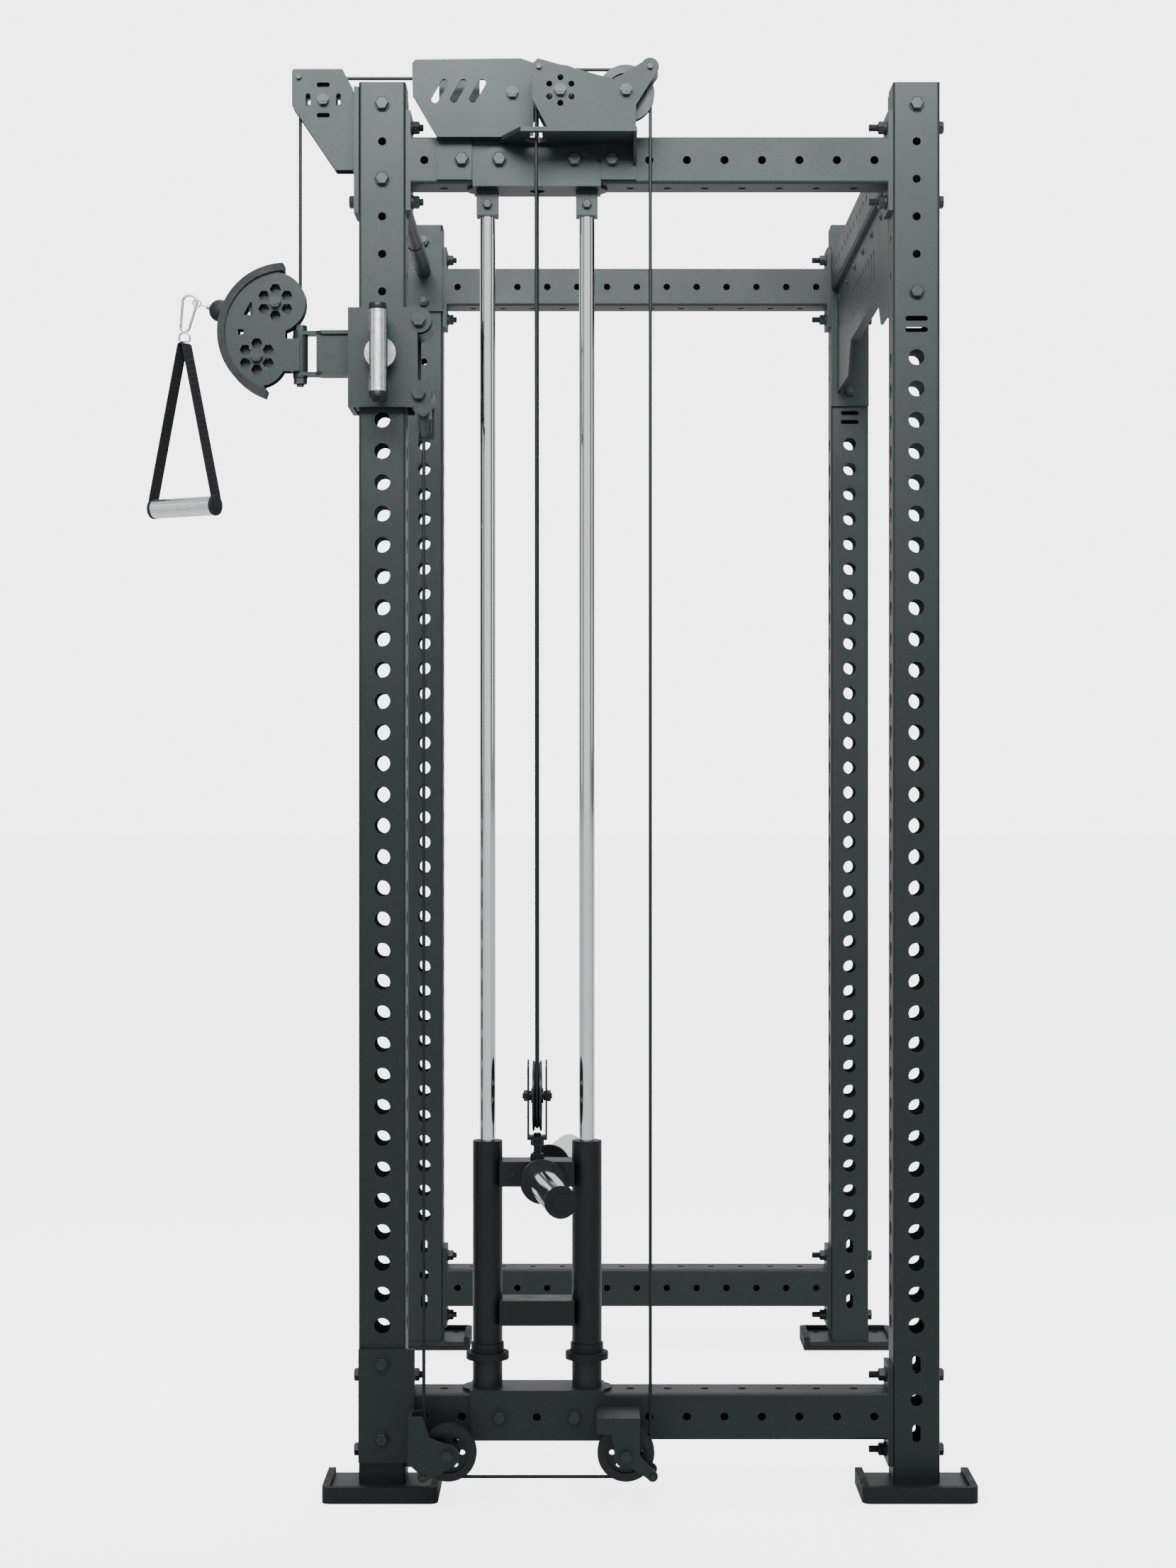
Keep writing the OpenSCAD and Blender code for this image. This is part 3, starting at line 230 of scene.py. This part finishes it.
def powder_coat(name, colour, rough=0.46):
    """Fine-textured powder coat: a tight grain under a faint cloudiness."""
    material, tree, shader = start_material(name, colour, rough)
    coords = object_coords(tree)
    cloud = noise(tree, coords, 3.0, 3.0)
    grain = noise(tree, coords, 620.0, 2.0, 0.6)
    tint = tree.nodes.new("ShaderNodeMix")
    tint.data_type = "RGBA"
    tint.inputs["Factor"].default_value = 0.5
    tree.links.new(
        ramp(tree, cloud, [(0.3, scaled(colour, 0.86)), (0.7, scaled(colour, 1.12))]), tint.inputs["A"]
    )
    tree.links.new(
        ramp(tree, grain, [(0.35, scaled(colour, 0.72)), (0.65, scaled(colour, 1.32))]), tint.inputs["B"]
    )
    tree.links.new(tint.outputs["Result"], shader.inputs["Base Color"])
    tree.links.new(to_range(tree, cloud, rough - 0.05, rough + 0.06), shader.inputs["Roughness"])
    bump(tree, shader, grain, 0.22, 0.0006)
    return material


def plain_finish(name, colour, rough, metal=0.0, scale=40.0, spread=0.12, grain=900.0, depth=0.05):
    """Paint, rubber, nylon or metal with a little unevenness in colour and gloss."""
    material, tree, shader = start_material(name, colour, rough, metal)
    coords = object_coords(tree)
    patch = noise(tree, coords, scale, 4.0)
    tree.links.new(
        ramp(tree, patch, [(0.3, scaled(colour, 1 - spread)), (0.7, scaled(colour, 1 + spread))]),
        shader.inputs["Base Color"],
    )
    tree.links.new(to_range(tree, patch, rough * 0.85, rough * 1.2), shader.inputs["Roughness"])
    bump(tree, shader, noise(tree, coords, grain, 2.0), depth, 0.0004)
    return material


def waves(tree, vector, scale, turn, axis):
    mapping = tree.nodes.new("ShaderNodeMapping")
    mapping.inputs["Rotation"].default_value = turn
    tree.links.new(vector, mapping.inputs["Vector"])
    node = tree.nodes.new("ShaderNodeTexWave")
    node.bands_direction = axis
    node.inputs["Scale"].default_value = scale
    tree.links.new(mapping.outputs["Vector"], node.inputs["Vector"])
    return node.outputs["Fac"]


def crossed(tree, vector, scale, angle, axis):
    """Two wave fields crossed, for a weave, a braid or a knurl."""
    node = tree.nodes.new("ShaderNodeMath")
    node.operation = "MULTIPLY"
    tree.links.new(waves(tree, vector, scale, (angle, angle, 0), axis), node.inputs[0])
    tree.links.new(waves(tree, vector, scale, (-angle, -angle, 0), axis), node.inputs[1])
    return node.outputs["Value"]


def patterned(name, colour, rough, scale, angle, depth, contrast, axis):
    """A weave, a braid or a knurl over plain colour."""
    material, tree, shader = start_material(name, colour, rough)
    field = crossed(tree, object_coords(tree), scale, angle, axis)
    tree.links.new(
        ramp(tree, field, [(0.05, scaled(colour, 1 - contrast)), (0.6, scaled(colour, 1 + contrast))]),
        shader.inputs["Base Color"],
    )
    bump(tree, shader, field, depth, 0.0006)
    return material


MATERIALS = {
    "powder": powder_coat("powder", (0.0108, 0.0140, 0.0145)),
    "plate_powder": powder_coat("plate_powder", (0.0108, 0.0140, 0.0145)),
    "satin_black": plain_finish("satin_black", (0.0045, 0.0050, 0.0053), 0.42, scale=30.0),
    "black_oxide": plain_finish("black_oxide", (0.016, 0.021, 0.022), 0.36, 0.0, 90.0, 0.2),
    "rubber": plain_finish("rubber", (0.0050, 0.0052, 0.0055), 0.6, 0.0, 60.0, 0.15, 500.0, 0.2),
    "nylon": plain_finish("nylon", (0.0050, 0.0052, 0.0055), 0.45, 0.0, 50.0),
    "pulley_nylon": plain_finish("pulley_nylon", (0.0060, 0.0065, 0.0070), 0.38, 0.0, 40.0, 0.1, 300.0),
    "cable": patterned("cable", (0.006, 0.0065, 0.0065), 0.5, 160.0, 0.7, 0.1, 0.3, "Z"),
    "knurl_black": patterned("knurl_black", (0.012, 0.015, 0.016), 0.4, 220.0, 0.785, 0.7, 0.5, "Y"),
    "chrome": plain_finish("chrome", (0.90, 0.91, 0.92), 0.09, 1.0, 8.0, 0.03, 200.0, 0.01),
    "zinc": plain_finish("zinc", (0.50, 0.51, 0.53), 0.25, 1.0, 60.0, 0.08, 700.0, 0.03),
    "aluminium": plain_finish("aluminium", (0.72, 0.73, 0.74), 0.30, 1.0, 120.0, 0.08, 900.0, 0.1),
    "webbing": patterned("webbing", (0.0035, 0.0035, 0.0038), 0.8, 110.0, 0.785, 0.8, 0.6, "Z"),
}


def studio_floor():
    """Pale floor with a glow that only the camera sees, so that its shadows stay faint."""
    material = plain_finish("floor_paint", (0.86, 0.86, 0.87), 0.5, 0.0, 0.6, 0.02, 30.0, 0.01)
    tree = material.node_tree
    shader = tree.nodes["Principled BSDF"]
    shader.inputs["Emission Color"].default_value = (1.0, 1.0, 1.0, 1.0)
    path = tree.nodes.new("ShaderNodeLightPath")
    glow = tree.nodes.new("ShaderNodeMapRange")
    glow.inputs["To Max"].default_value = FLOOR_GLOW
    tree.links.new(path.outputs["Is Camera Ray"], glow.inputs["Value"])
    tree.links.new(glow.outputs["Result"], shader.inputs["Emission Strength"])
    return material


def finish_nodes():
    """Every CAD node takes its slot's material and is smooth except over real edges."""
    for part in frame["record"]["subparts"]:
        node = NODES[part["node"]]
        node.data.materials.clear()
        node.data.materials.append(MATERIALS[part["material_slot"]])
        node.data.polygons.foreach_set("use_smooth", [True] * len(node.data.polygons))
        node.data.set_sharp_from_angle(angle=SMOOTH_ANGLE)


# ---------------------------------------------------------------- mesh helpers


def new_piece(name, bm, slot, body, nodes=()):
    """Makes the piece from bm, smooth except over its edges, riding on its body."""
    mesh = bpy.data.meshes.new(name)
    bmesh.ops.recalc_face_normals(bm, faces=bm.faces)
    bm.to_mesh(mesh)
    bm.free()
    piece = bpy.data.objects.new(name, mesh)
    bpy.context.scene.collection.objects.link(piece)
    mesh.materials.append(MATERIALS[slot])
    mesh.polygons.foreach_set("use_smooth", [True] * len(mesh.polygons))
    mesh.set_sharp_from_angle(angle=SMOOTH_ANGLE)
    if body:
        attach(piece, body)
    if nodes:
        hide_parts(*nodes)
    return piece


def revolve(bm, profile, place, sides):
    """Adds a closed solid turned about local Z from (radius, height) points in metres."""
    rings = []
    for radius, height in profile:
        if radius < 1e-7:
            rings.append([bm.verts.new(place @ Vector((0, 0, height)))])
            continue
        ring = []
        for i in range(sides):
            a = math.tau * i / sides
            ring.append(bm.verts.new(place @ Vector((radius * math.cos(a), radius * math.sin(a), height))))
        rings.append(ring)
    for below, above in zip(rings, rings[1:]):
        for i in range(sides):
            j = (i + 1) % sides
            loop = [ring[k % len(ring)] for ring, k in ((below, i), (below, j), (above, j), (above, i))]
            loop = list(dict.fromkeys(loop))
            if len(loop) > 2:
                bm.faces.new(loop)
    for ring in (rings[0], rings[-1]):
        if len(ring) > 2:
            bm.faces.new(ring)


def facing(at, way):
    """Matrix that puts local Z along way at a point."""
    return Matrix.Translation(at) @ Vector(way).to_track_quat("Z", "Y").to_matrix().to_4x4()


HEX_CHAMFER = 0.16


def hexagon(bm, across, low, high, place):
    """A hexagon with its corners turned down at the high end, as on a bolt head."""
    r = across / math.sqrt(3)
    ends = [(r, low), (r, high - HEX_CHAMFER * r), (r * 0.86, high)]
    revolve(bm, ends, place, 6)


def bolt_shapes(bm, at, way, grip, d, tail):
    """Head, flange washer, nut and thread of one bolt; way points out of its head."""
    place = facing(at, way)
    m = MM
    head = 0.62 * d
    revolve(bm, [(d * m, 0), (d * m, 1.9 * m), (d * 0.96 * m, 2.5 * m), (0.6 * d * m, 2.5 * m)], place, 28)
    hexagon(bm, 1.58 * d * m, 2.5 * m, (2.5 + head) * m, place)
    base = -grip * m
    revolve(
        bm,
        [(0.6 * d * m, base - 2.5 * m), (0.97 * d * m, base - 2.5 * m), (d * m, base - 2 * m), (d * m, base)],
        place,
        28,
    )
    back = facing(at, -Vector(way))
    hexagon(bm, 1.58 * d * m, (grip + 2.5) * m, (grip + 2.5 + 0.83 * d) * m, back)
    top = grip + 2.5 + 0.83 * d
    end = grip + 1.04 * d + 3 + tail
    profile = [(0.47 * d * m, -1 * m), (0.47 * d * m, top * m)]
    turns = max(1, int((end - top) / 1.5))
    for i in range(turns):
        z = top + (end - top) * i / turns
        step = (end - top) / turns
        profile += [(0.44 * d * m, z * m), (0.5 * d * m, (z + step / 2) * m)]
    profile += [(0.44 * d * m, end * m)]
    revolve(bm, profile, back, 20)


def bolts(name, places, node):
    bm = bmesh.new()
    for at, way, grip, d, tail in places:
        bolt_shapes(bm, rack(*at), way, grip, d, tail)
    new_piece(name, bm, "black_oxide", "frame", [node])


def tube_along(bm, points, radius, sides):
    """A round tube through the points, with flat ends."""
    frames = []
    side = None
    for i, p in enumerate(points):
        before = points[max(0, i - 1)]
        after = points[min(len(points) - 1, i + 1)]
        way = (after - before).normalized()
        if side is None:
            side = way.orthogonal().normalized()
        side = (side - way * side.dot(way)).normalized()
        frames.append((p, side, way.cross(side)))
    rings = []
    for p, u, v in frames:
        ring = []
        for k in range(sides):
            a = math.tau * k / sides
            ring.append(bm.verts.new(p + (u * math.cos(a) + v * math.sin(a)) * radius))
        rings.append(ring)
    for a, b in zip(rings, rings[1:]):
        for k in range(sides):
            j = (k + 1) % sides
            bm.faces.new((a[k], a[j], b[j], b[k]))
    bm.faces.new(rings[0])
    bm.faces.new(rings[-1])


# ---------------------------------------------------------------- fasteners

FACE_Y = -HALF_Y
TOP_Z = HEIGHT - 125
LOW_Z = 125
BAR_Z = HEIGHT - 95
M12, M8 = 12, 8
TAIL, LONG_TAIL = 3, 12
BOLT_RISE = 60
END_T = 8
PLATE = 5
STACK_X = -180
FRONT_BOTTOM_RISES = (-34, 86)
REAR_PLATE_RISES = (-240, 60)
SCREW_PITCH = 160
SCREW_R = 6.5
UX = HALF_X - TUBE / 2
UY = HALF_Y - TUBE / 2


def beam_bolt_places():
    places = []
    for sx in (-1, 1):
        for sy in (-1, 1):
            for z in (TOP_Z, LOW_Z):
                for h in (-BOLT_RISE, BOLT_RISE):
                    extra = END_T if (sx < 0 and sy < 0 and z == TOP_Z) else 0
                    at = (sx * (HALF_X + extra), sy * UY, z + h)
                    tail = LONG_TAIL if sx > 0 else TAIL
                    places.append((at, (sx, 0, 0), TUBE + END_T + extra, M12, tail))
    return places


def cross_bolt_places():
    places = []
    for s in (-1, 1):
        for x, rises in ((-UX, (-BOLT_RISE, BOLT_RISE)), (UX, REAR_PLATE_RISES)):
            for h in rises:
                places.append(((x, s * HALF_Y, BAR_Z + h), (0, s, 0), TUBE + END_T, M12, TAIL))
    return places


def column_bolt_places():
    front = (0, -1, 0)
    places = []
    for s in (-1, 1):
        places.append(((STACK_X + s * 60, FACE_Y - PLATE, TOP_Z), front, TUBE + 2 * PLATE, M12, TAIL))
        places.append(((STACK_X + s * 120, FACE_Y - PLATE, TOP_Z), front, TUBE + PLATE, M12, TAIL))
        places.append(((STACK_X + s * 60, FACE_Y - PLATE, LOW_Z), front, TUBE + 2 * PLATE, M12, TAIL))
        places.append(((STACK_X + s * 80, -UY - 17.5, TOP_Z - TUBE / 2 - PLATE - 24), front, 35, M8, 1))
    places.append(((STACK_X + 120, FACE_Y - PLATE, LOW_Z), front, TUBE + PLATE, M12, TAIL))
    for h in FRONT_BOTTOM_RISES:
        places.append(((-UX, FACE_Y - END_T, LOW_Z + h), front, TUBE + END_T, M12, TAIL))
    return places


def panel_screws():
    bm = bmesh.new()
    face = UX - 25.5
    for i in range(-3, 4):
        at = rack(face, i * SCREW_PITCH, BAR_Z - TUBE / 2 - 24)
        r = SCREW_R
        dome = [(r, 0), (r, 0.8), (r * 0.8, 2.8), (r * 0.42, 3.8), (r * 0.4, 2.2), (0, 2.2)]
        revolve(bm, [(out * MM, up * MM) for out, up in dome], facing(at, (-1, 0, 0)), 24)
    new_piece("panel_screws", bm, "black_oxide", "frame", ["cross_bolts"])


def add_fasteners():
    bolts("beam_bolts_detail", beam_bolt_places(), "beam_bolts")
    bolts("cross_bolts_detail", cross_bolt_places(), "cross_bolts")
    bolts("column_bolts_detail", column_bolt_places(), "column_bolts")
    panel_screws()


# ---------------------------------------------------------------- grips, strap, hook


def knurled_tube(bm, place, radius, length, pitch=2.0, depth=0.22, sides=72):
    """A tube about local Z whose surface is cut into small pyramids; plain bands at its ends."""
    steps = int(length / pitch) * 2
    rings = []
    for k in range(steps + 1):
        z = -length / 2 + length * k / steps
        plain = k < 4 or k > steps - 4
        ring = []
        for i in range(sides):
            a = math.tau * i / sides
            cut = 0.0 if plain or (i + k) % 2 else depth
            r = (radius - cut) * MM
            ring.append(bm.verts.new(place @ Vector((r * math.cos(a), r * math.sin(a), z * MM))))
        rings.append(ring)
    for below, above in zip(rings, rings[1:]):
        for i in range(sides):
            j = (i + 1) % sides
            bm.faces.new((below[i], below[j], above[j], above[i]))
    bm.faces.new(rings[0])
    bm.faces.new(rings[-1])


def rounded_disc(bm, place, radius, low, high, e, sides=40):
    """A short cylinder with rims rounded by e, from low to high along local Z, in millimetres."""
    profile = [
        (radius - e, low),
        (radius - 0.3 * e, low + 0.3 * e),
        (radius, low + e),
        (radius, high - e),
        (radius - 0.3 * e, high - 0.3 * e),
        (radius - e, high),
    ]
    revolve(bm, [(r * MM, z * MM) for r, z in profile], place, sides)


def rounded_block(bm, place, size, edge):
    """A box with its edges broken, centred on place, size in millimetres."""
    made = bmesh.ops.create_cube(bm, size=1.0)
    for v in made["verts"]:
        v.co = Vector(v.co[i] * size[i] * MM for i in range(3))
    edges = list({e for v in made["verts"] for e in v.link_edges})
    out = bmesh.ops.bevel(bm, geom=edges, offset=edge * MM, segments=2, affect="EDGES", profile=0.5)
    verts = {v for f in out["faces"] for v in f.verts} | {v for v in made["verts"] if v.is_valid}
    for v in verts:
        v.co = place @ v.co


GRIP_D = 31
GRIP_L = 130
GRIP_TURN = math.radians(-30)
STRAP_W = 25


def grip_place():
    low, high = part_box("handle_grip")
    at = (Vector(low) + Vector(high)) / 2
    return Matrix.Translation(at) @ Matrix.Rotation(GRIP_TURN, 4, "Z")


def add_handle():
    place = grip_place()
    along = place @ Matrix.Rotation(math.radians(90), 4, "Y")
    bm = bmesh.new()
    knurled_tube(bm, along, GRIP_D / 2, GRIP_L - 12)
    new_piece("grip_knurled", bm, "aluminium", "handle", ["handle_grip"])

    bm = bmesh.new()
    for s in (-1, 1):
        end = s * (GRIP_L / 2 - 3)
        rounded_disc(bm, along, GRIP_D / 2 + 1, end - 3, end + 3, 1.4)
        rounded_disc(bm, along, 8, end - 3.5, end + 3.5, 0.8)
    new_piece("grip_caps", bm, "rubber", "handle", ["grip_ends"])
    add_strap(place)


def ribbon(bm, path, width, thick, place):
    """A woven band through local X-Z points, lying across local Y, with softened borders."""
    rows = []
    for i, (x, z) in enumerate(path):
        x0, z0 = path[max(0, i - 1)]
        x1, z1 = path[min(len(path) - 1, i + 1)]
        n = Vector((-(z1 - z0), 0, x1 - x0)).normalized()
        c = Vector((x, 0, z))
        half, t = width / 2, thick / 2
        section = [
            (-half, 0),
            (-half + 0.6, t * 0.8),
            (-half + 2, t),
            (half - 2, t),
            (half - 0.6, t * 0.8),
            (half, 0),
            (half - 0.6, -t * 0.8),
            (half - 2, -t),
            (-half + 2, -t),
            (-half + 0.6, -t * 0.8),
        ]
        rows.append([bm.verts.new(place @ ((c + Vector((0, y, 0)) + n * h) * MM)) for y, h in section])
    for a, b in zip(rows, rows[1:]):
        for k in range(len(a)):
            j = (k + 1) % len(a)
            bm.faces.new((a[k], a[j], b[j], b[k]))
    bm.faces.new(rows[0])
    bm.faces.new(rows[-1])


def add_strap(place):
    low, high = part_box("handle_strap")
    top = (high[2] - place.translation.z) / MM
    e = GRIP_L / 2 - 2
    bm = bmesh.new()
    path = [(-e, 3), (-e, 10), (-e + 0.6, 16)]
    path += [(-e + 1 + (e - 6) * k / 24, 18 + (top - 24) * k / 24) for k in range(25)]
    path += [(-4.4, top - 3.4), (-2.6, top - 1.9), (0, top - 1.5)]
    path += [(-x, z) for x, z in reversed(path[:-1])]
    ribbon(bm, path, STRAP_W, 3.0, place)
    new_piece("strap_woven", bm, "webbing", "handle", ["handle_strap"])

    bm = bmesh.new()
    lean = math.atan2(e - 6, top - 24)
    for s in (-1, 1):
        for side in (-1, 1):
            for k in range(60):
                t = (k + 1) / 62
                x = s * (e - 1 - (e - 6) * t)
                z = 18 + (top - 24) * t
                tilt = Matrix.Rotation(-s * lean, 4, "Y")
                at = place @ Matrix.Translation(Vector((x, side * (STRAP_W / 2 - 3), z)) * MM) @ tilt
                rounded_block(bm, at, (3.3, 0.6, 2.4), 0.2)
    new_piece("strap_stitches", bm, "webbing", "handle", ["handle_strap"])


def arc_points(centre, radius, start, sweep, steps):
    return [
        (
            centre[0] + radius * math.cos(math.radians(start + sweep * i / steps)),
            centre[1] + radius * math.sin(math.radians(start + sweep * i / steps)),
        )
        for i in range(steps + 1)
    ]


def closed_loop(bm, outline, radius, eye):
    points = [eye + Vector((x, 0, z)) * MM for x, z in outline]
    points.append(points[0].copy())
    tube_along(bm, points, radius * MM, 14)


EXIT_ANGLE = math.radians(18)
BALL_AT = 83
RING_AT = 122.5
BALL_R = 18
ROPE_R = 2.3
EYE_WIRE_R = 1.5
CORD_EXIT = (-612.4, -585, 1874.4)


def on_cord(t):
    """A point t millimetres out along the pull cable, from where it leaves the head."""
    x, y, z = CORD_EXIT
    return rack(x - t * math.cos(EXIT_ANGLE), y, z + t * math.sin(EXIT_ANGLE))


def add_pull_cable():
    way = on_cord(1) - on_cord(0)
    bm = bmesh.new()
    tube_along(bm, [on_cord(0), on_cord(BALL_AT - 4)], ROPE_R * MM, 20)
    rope = new_piece("pull_cable", bm, "cable", None)
    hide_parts("handle_cord")
    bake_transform(rope)

    bm = bmesh.new()
    ball = bmesh.ops.create_uvsphere(bm, u_segments=48, v_segments=28, radius=BALL_R * MM)
    turn = facing(on_cord(BALL_AT), way)
    for v in ball["verts"]:
        v.co = turn @ v.co
    new_piece("stop_ball", bm, "rubber", "cord", ["handle_cord"])

    bm = bmesh.new()
    place = facing(on_cord(BALL_AT), way)
    rounded_disc(bm, place, 4.5, BALL_R - 1, BALL_R + 4.5, 1.2, 28)
    tube_along(bm, [on_cord(BALL_AT + BALL_R), on_cord(RING_AT - 6)], EYE_WIRE_R * MM, 16)
    ring = [on_cord(RING_AT) + Vector((x, 0, z)) * MM for x, z in arc_points((0, 0), 6, 0, 360, 28)]
    tube_along(bm, ring, EYE_WIRE_R * MM, 12)
    new_piece("cable_eye", bm, "zinc", "cord", ["handle_cord"])


HOOK_TOP = (-11.5, 1.5)
HOOK_LOW = (-19, -38.5)
HOOK_R = 11.5
HOOK_TIP_R = 7
HOOK_WIRE_R = 2.25
RING_MID = (-20, -55.5)
RING_R = 8.5
RING_WIRE_R = 1.75


def add_hook():
    eye = on_cord(RING_AT)
    turn = math.degrees(math.atan2(HOOK_LOW[1] - HOOK_TOP[1], HOOK_LOW[0] - HOOK_TOP[0]))
    apart = math.hypot(HOOK_LOW[0] - HOOK_TOP[0], HOOK_LOW[1] - HOOK_TOP[1])
    lean = math.degrees(math.acos((HOOK_R - HOOK_TIP_R) / apart))
    outline = arc_points(HOOK_TOP, HOOK_R, turn + lean, 360 - 2 * lean, 36)
    outline += arc_points(HOOK_LOW, HOOK_TIP_R, turn - lean, 2 * lean, 20)
    bm = bmesh.new()
    closed_loop(bm, outline, HOOK_WIRE_R, eye)
    p, q = Vector(outline[36]), Vector(outline[37])
    along = Vector((q.x - p.x, 0, q.y - p.y))
    for t in (0.12, 0.88):
        at = eye + Vector((p.x + (q.x - p.x) * t, 0, p.y + (q.y - p.y) * t)) * MM
        rounded_disc(bm, facing(at, along), 2.55, -0.9, 0.9, 0.3, 20)
        rounded_disc(bm, facing(at, (0, 1, 0)), 1.2, -2.9, 2.9, 0.3, 14)
    new_piece("snap_hook", bm, "zinc", "handle", ["carabiner"])

    x, z = RING_MID
    outline = arc_points(RING_MID, RING_R, -8, 196, 24)
    outline += arc_points((x - 6.5, z - 4), 2, 180, 90, 5)
    outline += arc_points((x + 6.5, z - 4), 2, 270, 90, 5)
    bm = bmesh.new()
    closed_loop(bm, outline, RING_WIRE_R, eye)
    new_piece("strap_ring", bm, "zinc", "handle", ["carabiner"])


LOCK_D = 26.5
LOCK_L = 128
LOCK_ARM = 69


def add_lock_grip():
    """The knurled plunger grip, its end caps, arms and back bar."""
    low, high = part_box("lock_grip")
    x = (low[0] + high[0]) / 2
    z = (low[2] + high[2]) / 2
    front = low[1] + (LOCK_D / 2 + 0.75) * MM
    place = Matrix.Translation((x, front, z))
    bm = bmesh.new()
    knurled_tube(bm, place, LOCK_D / 2, LOCK_L)
    new_piece("lock_grip_knurled", bm, "aluminium", "lock_pin", ["lock_grip"])

    bm = bmesh.new()
    back = high[1] - 3.5 * MM
    for s in (-1, 1):
        rounded_disc(bm, place, 14, s * LOCK_ARM - 5, s * LOCK_ARM + 5, 1.5)
        rounded_disc(bm, place, 6, s * LOCK_ARM - 6.5, s * LOCK_ARM + 6.5, 1.0)
        arm = Matrix.Translation((x, (front + back) / 2, z + s * LOCK_ARM * MM))
        rounded_block(bm, arm, (18, (back - front) / MM, 8), 1.5)
    rounded_block(bm, Matrix.Translation((x, back, z)), (24, 7, 148), 1.5)
    new_piece("lock_grip_frame", bm, "nylon", "lock_pin", ["lock_grip"])


# ---------------------------------------------------------------- moving cable strands

PULLEY_REACH = 0.05


def strand(node, fixed_at_top):
    """A taut cable from a pulley on the frame to a sliding body, built as one straight tube between the
    middles of the node's upper and lower ends, with a short run at each end on the same line beside the
    pulley's rim."""
    points = [v.co.copy() for v in NODES[node].data.vertices]
    middle = (min(p.z for p in points) + max(p.z for p in points)) / 2
    upper = [p for p in points if p.z > middle]
    lower = [p for p in points if p.z <= middle]
    top = sum(upper, Vector()) / len(upper)
    low = sum(lower, Vector()) / len(lower)
    fixed, moving = (top, low) if fixed_at_top else (low, top)
    run = (moving - fixed).normalized() * PULLEY_REACH
    knee, riding_knee = fixed + run, moving - run
    side_low, side_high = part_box("strand_swivel")
    radius = (side_high[0] - side_low[0]) / 2
    bm = bmesh.new()
    tube_along(bm, [fixed, knee, riding_knee, moving], radius, 20)
    rope = new_piece(node + "_rope", bm, "cable", None)
    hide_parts(node)
    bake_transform(rope)


def add_strands():
    strand("strand_near", True)
    strand("strand_far", True)
    strand("strand_swivel", True)
    strand("strand_trolley", False)


# ---------------------------------------------------------------- build

add_camera()
add_lights()
add_floor(studio_floor())
finish_nodes()
add_fasteners()
add_strands()
add_handle()
add_pull_cable()
add_hook()
add_lock_grip()
